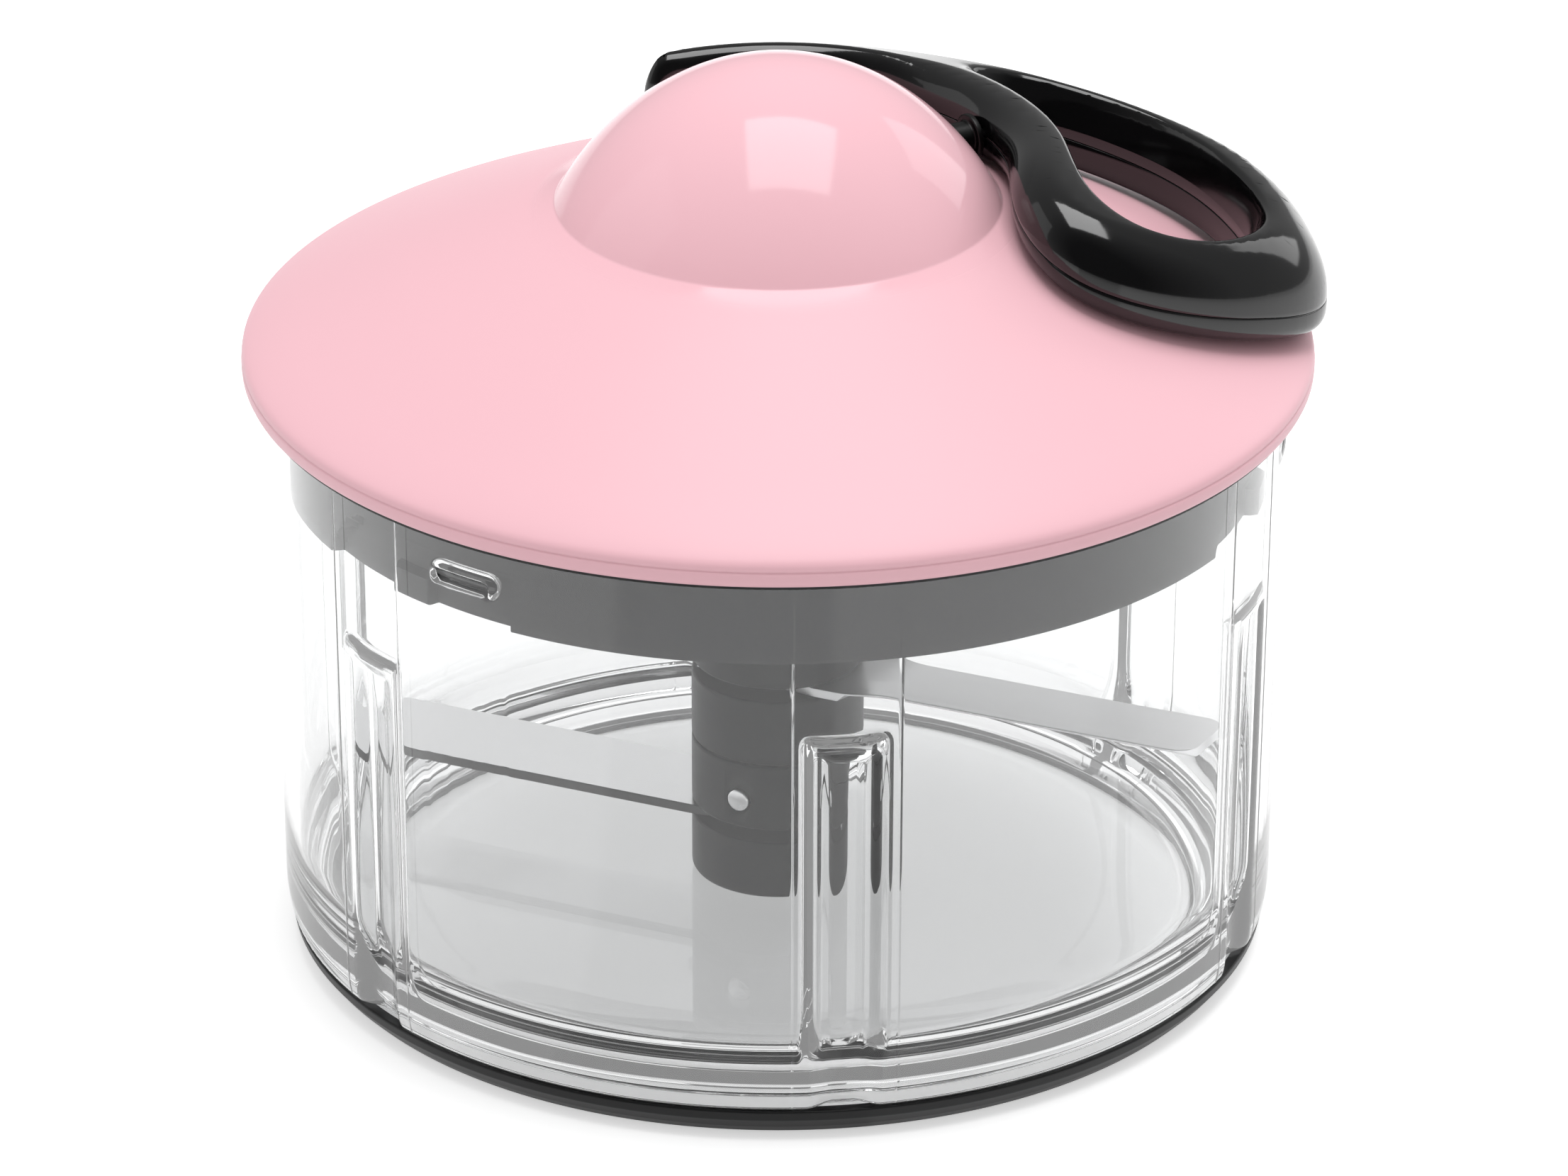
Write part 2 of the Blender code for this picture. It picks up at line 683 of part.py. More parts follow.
def lid_height(radius):
    """Height of the lid's sloping top, as a plain cone."""
    slope = (DOME_FOOT_Z - EQUATOR_Z - 1.0) / (LID_RADIUS - DOME_RADIUS)
    return DOME_FOOT_Z - slope * (radius - DOME_RADIUS)


def dome_profile(inset, rows):
    """The dome's arc from its top to its foot, drawn in by a wall's thickness."""
    middle = DOME_TOP_Z - DOME_CURVE
    sine = (DOME_FOOT_Z - middle) / DOME_CURVE
    spread = DOME_RADIUS / math.sqrt(1 - sine * sine)
    last = math.asin(sine)
    points = []
    for i in range(rows + 1):
        angle = math.pi / 2 + (last - math.pi / 2) * i / rows
        points.append((
            (spread - inset) * math.cos(angle), middle + (DOME_CURVE - inset) * math.sin(angle)
        ))
    return points


def build_shell(mat):
    lip_inner = LIP_RADIUS - SHELL_WALL
    drop = SHELL_WALL * 1.1
    outer = dome_profile(0.0, 7)
    outer[0] = (0.0, DOME_TOP_Z)
    shoulder_z = lid_height(SHOULDER_RADIUS)
    middle_radius = (DOME_RADIUS + SHOULDER_RADIUS) / 2
    outer += [
        (middle_radius, lid_height(middle_radius) + SHOULDER_BULGE / 2),
        (SHOULDER_RADIUS, shoulder_z + SHOULDER_BULGE),
        (LIP_RADIUS - 1.4, lid_height(LIP_RADIUS - 1.4) + SHOULDER_BULGE),
        (LID_RADIUS - 0.35, EQUATOR_Z + 1.0),
        (LID_RADIUS, EQUATOR_Z - 0.2),
        (LIP_RADIUS, LIP_Z),
        (lip_inner, LIP_Z),
        (lip_inner, PLATE_TOP_Z + GAP),
        (SHOULDER_RADIUS, shoulder_z - drop),
    ]
    inner = dome_profile(SHELL_WALL, 5)
    inner = [point for point in inner if point[0] > AXLE_BOSS_RADIUS]
    inner[-1] = (DOME_RADIUS - SHELL_WALL, lid_height(DOME_RADIUS) - drop)
    boss_bottom = SPOOL_TOP_Z + GAP
    outer += inner[::-1]
    outer += [
        (AXLE_BOSS_RADIUS, DOME_TOP_Z - SHELL_WALL - GAP),
        (AXLE_BOSS_RADIUS, boss_bottom),
        (AXLE_RADIUS + GAP, boss_bottom),
        (AXLE_RADIUS + GAP, boss_bottom + AXLE_GRIP + GAP),
        (0.0, boss_bottom + AXLE_GRIP + GAP),
    ]
    shell = turned("lid_shell", outer)
    for i in range(SCREW_COUNT):
        place = polar(SCREW_CIRCLE, SCREW_AZIMUTH + i * 360 / SCREW_COUNT)
        join(shell, screw_boss(i, place))
    for i in range(SCREW_COUNT):
        place = polar(SCREW_CIRCLE, SCREW_AZIMUTH + i * 360 / SCREW_COUNT)
        cut(shell, cylinder(
            f"boss_bore_{i + 1}", SCREW_RADIUS + GAP, PLATE_TOP_Z,
            PLATE_Z - GAP + SCREW_LENGTH + GAP, place, 12))
    wall = DOME_RADIUS - 3 * SHELL_WALL
    cut(shell, side_rod(
        "eyelet_hole", EYELET_RADIUS + GAP, wall, DOME_RADIUS + 2, CORD_AZIMUTH, CORD_Z, 16))
    cut(shell, side_rod(
        "eyelet_seat", EYELET_FLANGE_RADIUS + GAP, eyelet_face() - EYELET_FLANGE - GAP,
        DOME_RADIUS + 3, CORD_AZIMUTH, CORD_Z, 16))
    return [as_part(shell, mat)]


def screw_boss(i, place):
    """A boss whose top follows the slope of the lid and ends inside its wall."""
    boss = cylinder(
        f"screw_boss_{i + 1}", SCREW_BOSS_RADIUS, PLATE_TOP_Z + GAP, DOME_FOOT_Z, place, 16)
    for vert in boss.data.vertices:
        if vert.co.z > (PLATE_TOP_Z + DOME_FOOT_Z) / 2 * MM:
            radius = math.hypot(vert.co.x, vert.co.y) / MM
            vert.co.z = (lid_height(radius) - SHELL_WALL / 2) * MM
    return boss


def build_lid_base(mat):
    cup_inner = CUP_RADIUS - CUP_WALL
    hub_hole = HUB_JOURNAL_RADIUS + GAP + BUSHING_WALL + GAP
    flange = LIP_RADIUS - SHELL_WALL - GAP
    profile = [
        (hub_hole, PLATE_TOP_Z), (cup_inner, PLATE_TOP_Z), (cup_inner, CUP_Z - GAP),
        (CUP_RADIUS, CUP_Z - GAP), (CUP_RADIUS, PLATE_TOP_Z), (flange, PLATE_TOP_Z),
        (flange, PLATE_Z), (SKIRT_RADIUS, PLATE_Z), (SKIRT_RADIUS, SKIRT_Z),
        (SKIRT_RADIUS - SKIRT_WALL, SKIRT_Z), (SKIRT_RADIUS - SKIRT_WALL, PLATE_Z),
        (hub_hole, PLATE_Z),
    ]
    base = turned("lid_base", profile)
    outer = SKIRT_RADIUS + 1
    relief = LUG_ARC / 2 + LUG_CLEARANCE_ARC
    for i in range(LUG_COUNT):
        turn = i * 360 / LUG_COUNT
        lug = LUG_AZIMUTH + turn
        ledge_z = SKIRT_Z + LEDGE_HEIGHT
        cut(
            base,
            sector(f"entry_{i + 1}", SLOT_FLOOR_RADIUS, outer, SKIRT_Z - 1, SLOT_ROOF_Z,
                   ENTRY_START + turn, ENTRY_END + turn),
            sector(f"channel_{i + 1}", SLOT_FLOOR_RADIUS, outer, ledge_z, SLOT_ROOF_Z,
                   ENTRY_END + turn - 1, lug + relief),
            sector(f"relief_{i + 1}", SLOT_FLOOR_RADIUS, outer, SKIRT_Z - 1, ledge_z + 1,
                   lug - relief, lug + relief),
        )
    for i in range(SCREW_COUNT):
        place = polar(SCREW_CIRCLE, SCREW_AZIMUTH + i * 360 / SCREW_COUNT)
        cut(base, cylinder(
            f"plate_hole_{i + 1}", SCREW_RADIUS + GAP, PLATE_Z - 1, PLATE_TOP_Z + 1,
            place, 12))
    return [as_part(base, mat)]


def build_lid_screws(mat):
    made = []
    head_top = PLATE_Z - GAP
    for i in range(SCREW_COUNT):
        place = polar(SCREW_CIRCLE, SCREW_AZIMUTH + i * 360 / SCREW_COUNT)
        profile = [
            (0.0, head_top + SCREW_LENGTH), (SCREW_RADIUS, head_top + SCREW_LENGTH),
            (SCREW_RADIUS, head_top), (SCREW_HEAD_RADIUS, head_top),
            (SCREW_HEAD_RADIUS, head_top - SCREW_HEAD_HEIGHT * 0.6),
            (SCREW_HEAD_RADIUS * 0.7, head_top - SCREW_HEAD_HEIGHT),
            (0.0, head_top - SCREW_HEAD_HEIGHT),
        ]
        screw = turned(f"lid_screw_{i + 1}", profile, 16)
        screw.location = place * MM
        made.append(as_part(screw, mat))
    return made


def eyelet_face():
    return DOME_RADIUS + GAP


def build_eyelet(mat):
    face = eyelet_face()
    eyelet = side_rod(
        "cord_eyelet", EYELET_RADIUS, face - EYELET_LENGTH, face, CORD_AZIMUTH, CORD_Z, 16)
    join(eyelet, side_rod(
        "eyelet_flange", EYELET_FLANGE_RADIUS, face - EYELET_FLANGE, face, CORD_AZIMUTH,
        CORD_Z, 16))
    cut(eyelet, side_rod(
        "eyelet_bore", EYELET_BORE, face - EYELET_LENGTH - 1, face + 1, CORD_AZIMUTH,
        CORD_Z, 16))
    return [as_part(eyelet, mat)]


def build_spring_cup(mat):
    inner = CUP_RADIUS - CUP_WALL
    profile = [
        (inner, CUP_Z + CUP_HEIGHT), (CUP_RADIUS, CUP_Z + CUP_HEIGHT),
        (CUP_RADIUS, CUP_Z), (ARBOR_RADIUS + RUNNING_GAP, CUP_Z),
        (ARBOR_RADIUS + RUNNING_GAP, CUP_FLOOR_Z), (inner, CUP_FLOOR_Z),
    ]
    cup = turned("spring_cup", profile)
    post = cylinder(
        "spring_post", 1.6, CUP_Z + CUP_FLOOR / 2, SPRING_Z + SPRING_BAND,
        polar(inner - 1.0, 0.0), 12)
    return [as_part(join(cup, post), mat)]


def build_spring(mat):
    """A flat spiral spring, wound from the arbor out to the cup's post."""
    inner = ARBOR_RADIUS + GAP + SPRING_THICKNESS / 2
    outer = CUP_RADIUS - CUP_WALL - 1.0 - 1.6 - GAP - SPRING_THICKNESS / 2
    outer = min(outer, SPRING_REACH + SPRING_THICKNESS)
    count = SPRING_TURNS * SMALL_STEPS
    middle = []
    for i in range(count + 1):
        share = i / count
        middle.append(polar(inner + (outer - inner) * share, 360 * SPRING_TURNS * share))
    half = SPRING_THICKNESS / 2
    outline = [p + p.normalized() * half for p in middle]
    outline += [p - p.normalized() * half for p in reversed(middle)]
    spring = flat_outline("return_spring", [(outline, 0)], SPRING_Z, SPRING_Z + SPRING_BAND)
    return [as_part(spring, mat)]


def build_axle(mat):
    axle = cylinder(
        "reel_axle", AXLE_RADIUS, HUB_DISC_Z, SPOOL_TOP_Z + GAP + AXLE_GRIP)
    return [as_part(axle, mat)]


# Cord reel

def build_reel(plastic, cord, axis):
    bore = AXLE_RADIUS + GAP
    low = CORD_Z - GROOVE_HEIGHT / 2
    high = CORD_Z + GROOVE_HEIGHT / 2
    profile = [
        (SPOOL_FLANGE_RADIUS, SPOOL_TOP_Z), (SPOOL_FLANGE_RADIUS, high),
        (SPOOL_CORE_RADIUS, high), (SPOOL_CORE_RADIUS, low),
        (SPOOL_FLANGE_RADIUS, low), (SPOOL_FLANGE_RADIUS, SPOOL_FLANGE_Z),
        (ARBOR_RADIUS, SPOOL_FLANGE_Z), (ARBOR_RADIUS, CUP_Z),
        (0.0, CUP_Z), (0.0, SPOOL_TOP_Z),
    ]
    profile = profile[-1:] + profile[:-1]
    spool = turned("cord_spool", profile, MEDIUM_STEPS)
    square = key_flats()
    join(spool, prism("arbor_key", square, RATCHET_DISC_Z, CUP_Z + 1, 4))
    cut(spool, cylinder("reel_bore", bore, RATCHET_DISC_Z - 1, SPOOL_TOP_Z + 1))
    winding = turned("cord_winding", [
        (WINDING_RADIUS, high - GAP), (WINDING_RADIUS, low + GAP),
        (SPOOL_CORE_RADIUS + GAP, low + GAP), (SPOOL_CORE_RADIUS + GAP, high - GAP),
    ], MEDIUM_STEPS)
    wheel = build_ratchet(square)
    made = [as_part(spool, plastic), as_part(winding, cord), as_part(wheel, plastic)]
    ride(axis, *made)
    return made


def key_flats():
    return (ARBOR_RADIUS - GAP) * math.sqrt(2)


def build_ratchet(square):
    teeth = []
    for i in range(RATCHET_TEETH):
        start = 360 * i / RATCHET_TEETH
        teeth.append(polar(TOOTH_TIP_RADIUS, start))
        teeth.append(polar(TOOTH_ROOT_RADIUS, start + 1.0))
        teeth.append(polar(TOOTH_ROOT_RADIUS * 0.985, start + 180 / RATCHET_TEETH))
    rim = [polar(RATCHET_RADIUS, 360 * i / MEDIUM_STEPS) for i in range(MEDIUM_STEPS)]
    wheel = flat_outline(
        "ratchet_wheel", [(rim, 0), (teeth, 0)], PAWL_Z, RATCHET_DISC_Z + GAP)
    disc = cylinder(
        "ratchet_disc", RATCHET_RADIUS, RATCHET_DISC_Z, RATCHET_DISC_Z + RATCHET_DISC,
        steps=MEDIUM_STEPS)
    join(wheel, disc)
    return cut(wheel, prism(
        "key_hole", square + 2 * GAP, RATCHET_DISC_Z - 1, RATCHET_DISC_Z + 5, 4))


# Drive hub, pawls and their fixings

def build_hub(plastic, steel, axis):
    bottom = HUB_DISC_Z - GAP - PLATE_THICKNESS - HUB_DEPTH
    shoulder = HUB_JOURNAL_RADIUS - 0.2
    clip_top = PLATE_Z - 2 * GAP
    clip_bottom = clip_top - CLIP_THICKNESS
    profile = [
        (0.0, HUB_TOP_Z), (HUB_DISC_RADIUS, HUB_TOP_Z), (HUB_DISC_RADIUS, HUB_DISC_Z),
        (HUB_JOURNAL_RADIUS, HUB_DISC_Z), (HUB_JOURNAL_RADIUS, clip_top + GAP),
        (HUB_BODY_RADIUS, clip_top + GAP), (HUB_BODY_RADIUS, clip_bottom - GAP),
        (shoulder, clip_bottom - GAP), (shoulder, clip_bottom - GAP - 0.9),
        (HUB_BODY_RADIUS, clip_bottom - GAP - 1.6), (HUB_BODY_RADIUS, bottom),
        (0.0, bottom),
    ]
    hub = turned("drive_hub", profile, MEDIUM_STEPS)
    for turn in (0, 180):
        place = polar(PAWL_PIVOT_RADIUS, PAWL_START + turn)
        join(hub, cylinder(
            f"pawl_post_{turn}", PAWL_POST_RADIUS, HUB_TOP_Z - 0.6,
            PAWL_Z + PAWL_THICKNESS, place, 12))
    cut(hub, prism("drive_socket", HEAD_FLATS + 2 * GAP, bottom - 1, bottom + SOCKET_DEPTH))
    cut(hub, cylinder("axle_bore", AXLE_RADIUS + GAP, HUB_DISC_Z - GAP, HUB_TOP_Z + 1))
    clip_inner = HUB_BODY_RADIUS + GAP
    clip = turned("hub_clip", [
        (clip_inner + CLIP_WIDTH, clip_top), (clip_inner + CLIP_WIDTH, clip_bottom),
        (clip_inner, clip_bottom), (clip_inner, clip_top),
    ], MEDIUM_STEPS)
    made = [as_part(hub, plastic), as_part(clip, steel)]
    ride(axis, *made)
    return made


def build_bushing(mat):
    inner = HUB_JOURNAL_RADIUS + GAP
    outer = inner + BUSHING_WALL
    bushing = turned("hub_bushing", [
        (outer, PLATE_TOP_Z), (outer, PLATE_Z), (inner, PLATE_Z), (inner, PLATE_TOP_Z),
    ], MEDIUM_STEPS)
    return [as_part(bushing, mat)]


def build_pawl(name, turn, mat, axis):
    """A small lever on a post, whose tip points back and rests between two teeth."""
    pivot = polar(PAWL_PIVOT_RADIUS, PAWL_START)
    tip = polar(PAWL_TIP_RADIUS, PAWL_START + PAWL_TIP_ARC)
    along = (tip - pivot).normalized()
    across = Vector((-along.y, along.x, 0))
    base = math.degrees(math.atan2(across.y, across.x))
    points = [pivot + polar(PAWL_EYE_RADIUS, base + 180 * i / 8) for i in range(9)]
    points.append(tip - across * 0.9 - along * 1.4)
    points.append(tip + across * 0.2)
    points.append(tip + across * 1.0 - along * 1.2)
    eye = [pivot + polar(PAWL_POST_RADIUS + GAP, 360 * i / 16) for i in range(16)]
    pawl = flat_outline(name, [(points, 0), (eye, 0)], PAWL_Z, PAWL_Z + PAWL_THICKNESS)
    pawl.data.transform(Matrix.Rotation(math.radians(turn), 4, "Z"))
    as_part(pawl, mat)
    ride(axis, pawl)
    return [pawl]


# Handle

def handle_points(shares):
    reach = GRIP_RADIUS - ARM_RADIUS
    return [polar(ARM_RADIUS + share * reach, azimuth) for azimuth, share in shares]


def blend(radius, low, high):
    start = ARM_RADIUS + KNOT_INSET
    end = SHOULDER_RADIUS
    share = min(1.0, max(0.0, (radius - start) / (end - start)))
    return low + share * (high - low)


def drape(obj):
    """Bends a flat plate of unit height down over the slope of the lid."""
    for vert in obj.data.vertices:
        radius = math.hypot(vert.co.x, vert.co.y) / MM
        share = vert.co.z / MM / HANDLE_HEIGHT_HIGH
        rest = HANDLE_REST + blend(radius, 0.0, HANDLE_LIFT)
        height = blend(radius, HANDLE_HEIGHT_LOW, HANDLE_HEIGHT_HIGH)
        vert.co.z = (lid_height(radius) + rest + share * height) * MM
    return obj


def split_faces(obj, pitch):
    """Cuts long faces into strips both ways, so that they can follow a bend."""
    bm = bmesh.new()
    bm.from_mesh(obj.data)
    count = math.ceil(GRIP_RADIUS / pitch)
    for normal in (Vector((1, 0, 0)), Vector((0, 1, 0))):
        for i in range(-count, count + 1):
            bmesh.ops.bisect_plane(
                bm, geom=[*bm.verts, *bm.edges, *bm.faces], dist=MERGE,
                plane_co=normal * i * pitch * MM, plane_no=normal,
            )
    bm.to_mesh(obj.data)
    bm.free()
    return obj


def handle_body(name):
    loops = [(handle_points(HANDLE_OUTLINE), 2), (handle_points(HANDLE_OPENING), 2)]
    flat = flat_outline(name, loops, 0.0, HANDLE_HEIGHT_HIGH, HANDLE_ROUND, 1)
    return drape(split_faces(flat, DRAPE_PITCH))


def parting_height(radius):
    rest = HANDLE_REST + blend(radius, 0.0, HANDLE_LIFT)
    height = blend(radius, HANDLE_HEIGHT_LOW, HANDLE_HEIGHT_HIGH)
    return lid_height(radius) + rest + PART_LINE_SHARE * height


def parting_block(name, sign):
    """Everything above or below the line where the handle's two shells meet."""
    inner = DOME_RADIUS - SHELL_WALL
    outer = GRIP_RADIUS + HANDLE_ROUND
    radii = [inner + (outer - inner) * i / 9 for i in range(10)]
    faces = [(r, parting_height(r) + sign * GAP / 2) for r in radii]
    end = faces[-1][1] + sign * (DOME_FOOT_RISE + HANDLE_HEIGHT_HIGH) * 1.5
    return turned(name, faces + [(outer, end), (inner, end)])


def build_handle(gloss, cord, axis):
    top = boolean(
        handle_body("handle_top"), as_cutter(parting_block("above_parting", 1)), "INTERSECT")
    bottom = boolean(
        handle_body("handle_bottom"), as_cutter(parting_block("below_parting", -1)),
        "INTERSECT")
    knot_radius = ARM_RADIUS + KNOT_INSET
    for half in (top, bottom):
        cut(half, side_rod(
            f"cord_hole_{half.name}", CORD_RADIUS + GAP, ARM_RADIUS - 2, knot_radius,
            CORD_AZIMUTH, CORD_Z, 12))
        cut(half, side_rod(
            f"knot_room_{half.name}", KNOT_RADIUS + GAP, knot_radius - KNOT_RADIUS - GAP,
            knot_radius + KNOT_RADIUS + GAP, CORD_AZIMUTH, CORD_Z, 12))
    bm = bmesh.new()
    bmesh.ops.create_uvsphere(
        bm, u_segments=10, v_segments=6, radius=KNOT_RADIUS * MM,
        matrix=Matrix.Translation(polar(knot_radius, CORD_AZIMUTH, CORD_Z) * MM))
    knot = new_object("cord_knot", bm)
    made = [as_part(top, gloss), as_part(bottom, gloss), as_part(knot, cord)]
    made.append(as_part(build_cord(knot_radius), cord))
    ride(axis, *made)
    return made


def build_cord(knot_radius):
    """The cord from where it leaves its winding, through the eyelet, to its knot."""
    turn_radius = WINDING_RADIUS + GAP + CORD_RADIUS
    bend_radius = eyelet_face() - EYELET_LENGTH - CORD_BEND
    lag = math.degrees(math.acos(turn_radius / bend_radius))
    start = polar(turn_radius, CORD_AZIMUTH - lag, CORD_Z)
    bend = polar(bend_radius, CORD_AZIMUTH, CORD_Z)
    end = polar(knot_radius - KNOT_RADIUS - GAP, CORD_AZIMUTH, CORD_Z)
    before = bend + (start - bend).normalized() * CORD_BEND
    after = bend + (end - bend).normalized() * CORD_BEND
    points = [start]
    for i in range(7):
        t = i / 6
        points.append(before * (1 - t) ** 2 + bend * 2 * t * (1 - t) + after * t ** 2)
    points.append(end)
    curve = bpy.data.curves.new("pull_cord", "CURVE")
    curve.dimensions = "3D"
    curve.bevel_depth = CORD_RADIUS * MM
    curve.bevel_resolution = 2
    curve.use_fill_caps = True
    spline = curve.splines.new("POLY")
    spline.points.add(len(points) - 1)
    for knot, point in zip(spline.points, points):
        knot.co = (*(point * MM), 1)
    source = bpy.data.objects.new("pull_cord_path", curve)
    bpy.context.scene.collection.objects.link(source)
    bpy.context.view_layer.update()
    mesh = bpy.data.meshes.new_from_object(
        source.evaluated_get(bpy.context.evaluated_depsgraph_get()))
    bm = bmesh.new()
    bm.from_mesh(mesh)
    bmesh.ops.remove_doubles(bm, verts=bm.verts, dist=MERGE)
    bpy.data.objects.remove(source)
    bpy.data.meshes.remove(mesh)
    return new_object("pull_cord", bm)


def main():
    start_scene()
    clear = material("Clear plastic", (0.90, 0.93, 0.94), 0.05, alpha=0.35)
    rubber = material("Black rubber", (0.02, 0.02, 0.02), 0.6)
    pink = material("Pink plastic", (0.94, 0.62, 0.70), 0.15)
    grey = material("Grey plastic", (0.13, 0.13, 0.13), 0.45)
    dark = material("Dark grey plastic", (0.05, 0.05, 0.05), 0.4)
    gloss = material("Black plastic", (0.01, 0.01, 0.01), 0.12)
    white = material("White plastic", (0.75, 0.75, 0.73), 0.4)
    steel = material("Steel", (0.62, 0.62, 0.62), 0.25, 1.0)
    brass = material("Brass", (0.70, 0.52, 0.24), 0.3, 1.0)
    cord = material("Black cord", (0.03, 0.03, 0.03), 0.8)
    build_base(rubber)
    build_bowl(clear)
    build_pivot(steel)
    blade_axis = joint_empty("blade_axis", (0, 0, FLOOR_Z))
    build_blade_unit(dark, steel, blade_axis)
    lid_axis = joint_empty("lid_axis", (0, 0, PLATE_Z))
    lid = build_lid_base(grey) + build_shell(pink) + build_lid_screws(steel)
    lid += build_eyelet(steel) + build_spring_cup(white) + build_spring(steel)
    lid += build_axle(steel) + build_bushing(brass)
    bpy.context.view_layer.update()
    ride(lid_axis, *lid)
    reel_axis = joint_empty("reel_axis", (0, 0, CORD_Z - PLATE_Z), lid_axis)
    build_reel(white, cord, reel_axis)
    hub_axis = joint_empty("hub_axis", (0, 0, HUB_DISC_Z - PLATE_Z), lid_axis)
    build_hub(grey, steel, hub_axis)
    for number, turn in ((1, 0), (2, 180)):
        place = polar(PAWL_PIVOT_RADIUS, PAWL_START + turn, PAWL_Z - HUB_DISC_Z)
        pawl_axis = joint_empty(f"pawl_axis_{number}", place, hub_axis)
        build_pawl(f"pawl_{number}", turn, steel, pawl_axis)
    handle_axis = joint_empty("handle_axis", polar(0, 0, CORD_Z - PLATE_Z), lid_axis)
    build_handle(gloss, cord, handle_axis)
    bpy.context.view_layer.update()


main()
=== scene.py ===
"""Finished surfaces of a pull cord food chopper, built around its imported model."""
import math

import bmesh
import bpy
import numpy as np
from bpy.props import FloatProperty, FloatVectorProperty, IntProperty, PointerProperty
from mathutils import Matrix, Vector


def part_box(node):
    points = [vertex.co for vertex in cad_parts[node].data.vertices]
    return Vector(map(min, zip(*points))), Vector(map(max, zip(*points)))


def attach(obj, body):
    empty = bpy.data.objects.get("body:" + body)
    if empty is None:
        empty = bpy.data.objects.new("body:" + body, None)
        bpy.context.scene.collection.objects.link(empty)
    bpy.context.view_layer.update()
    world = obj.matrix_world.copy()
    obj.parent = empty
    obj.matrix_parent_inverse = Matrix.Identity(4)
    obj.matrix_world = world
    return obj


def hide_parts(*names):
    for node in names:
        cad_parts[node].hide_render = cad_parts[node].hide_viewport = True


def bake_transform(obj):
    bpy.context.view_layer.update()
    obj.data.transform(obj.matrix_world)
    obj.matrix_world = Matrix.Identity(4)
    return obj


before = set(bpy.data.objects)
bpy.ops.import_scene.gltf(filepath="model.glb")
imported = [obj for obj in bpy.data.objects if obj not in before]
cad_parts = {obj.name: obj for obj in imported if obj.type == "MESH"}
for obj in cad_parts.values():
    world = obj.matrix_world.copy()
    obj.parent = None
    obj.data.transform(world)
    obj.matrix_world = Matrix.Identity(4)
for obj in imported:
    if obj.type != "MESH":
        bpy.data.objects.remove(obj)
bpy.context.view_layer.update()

bl_info = {
    "name": "Food Chopper",
    "version": (1, 0, 0),
    "blender": (4, 5, 0),
    "location": "View3D > Sidebar > Chopper",
    "description": "Builds a pull cord food chopper with a clear bowl and a domed lid",
    "category": "Object",
}

MM = 0.001


def node_mm(name):
    """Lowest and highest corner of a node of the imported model, in millimetres."""
    low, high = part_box(name)
    return [v / MM for v in low], [v / MM for v in high]


def length(name, description, default, **extra):
    return FloatProperty(
        name=name, description=description, default=default, unit="LENGTH", **extra)


def colour(name, description, default):
    return FloatVectorProperty(
        name=name, description=description, default=default, subtype="COLOR", size=3,
        min=0.0, max=1.0)


# Sizes and colours that a user may change

class ChopperColours(bpy.types.PropertyGroup):
    lid: colour("Lid", "Colour of the glossy lid", (0.84, 0.495, 0.55))
    skirt: colour("Skirt", "Colour of the lid's inner part", (0.034, 0.034, 0.035))
    shaft: colour("Shaft", "Colour of the shaft's collars", (0.014, 0.014, 0.0145))
    handle: colour("Handle", "Colour of the glossy handle", (0.0022, 0.0022, 0.0025))
    rubber: colour("Base ring", "Colour of the non slip ring", (0.004, 0.004, 0.0045))
    bowl: colour("Bowl", "Tint of the clear plastic", (0.897, 0.902, 0.904))
    steel: colour("Steel", "Colour of the blades and pins", (0.86, 0.86, 0.865))
    cord: colour("Cord", "Colour of the pull cord", (0.012, 0.012, 0.013))


class ChopperBowl(bpy.types.PropertyGroup):
    wall: length("Wall", "Thickness of the bowl's wall", 1.9 * MM)
    rib_width: length("Rib width", "Width of a rib inside the bowl", 11.4 * MM)
    groove_width: length("Groove width", "Width of a rib's groove outside", 8.2 * MM)
    rib_depth: length("Rib depth", "How far a rib stands into the bowl", 1.6 * MM)
    rib_top: length("Rib top", "Height of the ribs' upper ends", 54.6 * MM)
    ribs: IntProperty(name="Ribs", description="Number of ribs", default=6, min=3, max=12)


class ChopperLid(bpy.types.PropertyGroup):
    wall: length("Wall", "Thickness of the lid's shell", 1.8 * MM)
    foot_fillet: length("Dome fillet", "Fillet where the dome meets the cone", 0.7 * MM)
    slot_depth: length("Slot depth", "Depth of the slots in the skirt", 1.3 * MM)


class ChopperHandle(bpy.types.PropertyGroup):
    edge: length("Edge", "Width of the loop's rounded outer side", 5.8 * MM)
    arm_edge: length("Arm edge", "Width of the arm's rounded sides", 3.1 * MM)
    draft: length("Draft", "How far the opening's wall leans back", 1.9 * MM)
    drop: length("Drop", "Height of the rounded outer side", 6.6 * MM)
    crown: length("Crown", "Rise of the handle's top between its edges", 0.5 * MM)
    seam: length("Seam", "Gap where the two shells meet", 0.07 * MM)


class ChopperStage(bpy.types.PropertyGroup):
    distance: length("Distance", "From the camera to the object", 1.1)
    elevation: FloatProperty(
        name="Elevation", description="Camera angle above the horizon",
        default=math.radians(25.53), subtype="ANGLE")
    lens: FloatProperty(
        name="Lens", description="Focal length of the camera", default=202.5, unit="CAMERA")


# Plain shapes

def polar(radius, azimuth, z=0.0):
    angle = math.radians(azimuth)
    return Vector((radius * math.cos(angle), radius * math.sin(angle), z))


def ease(value, low, high):
    """0 at low, 1 at high and an even S between them."""
    t = np.clip((value - low) / (high - low), 0.0, 1.0)
    return t * t * (3 - 2 * t)


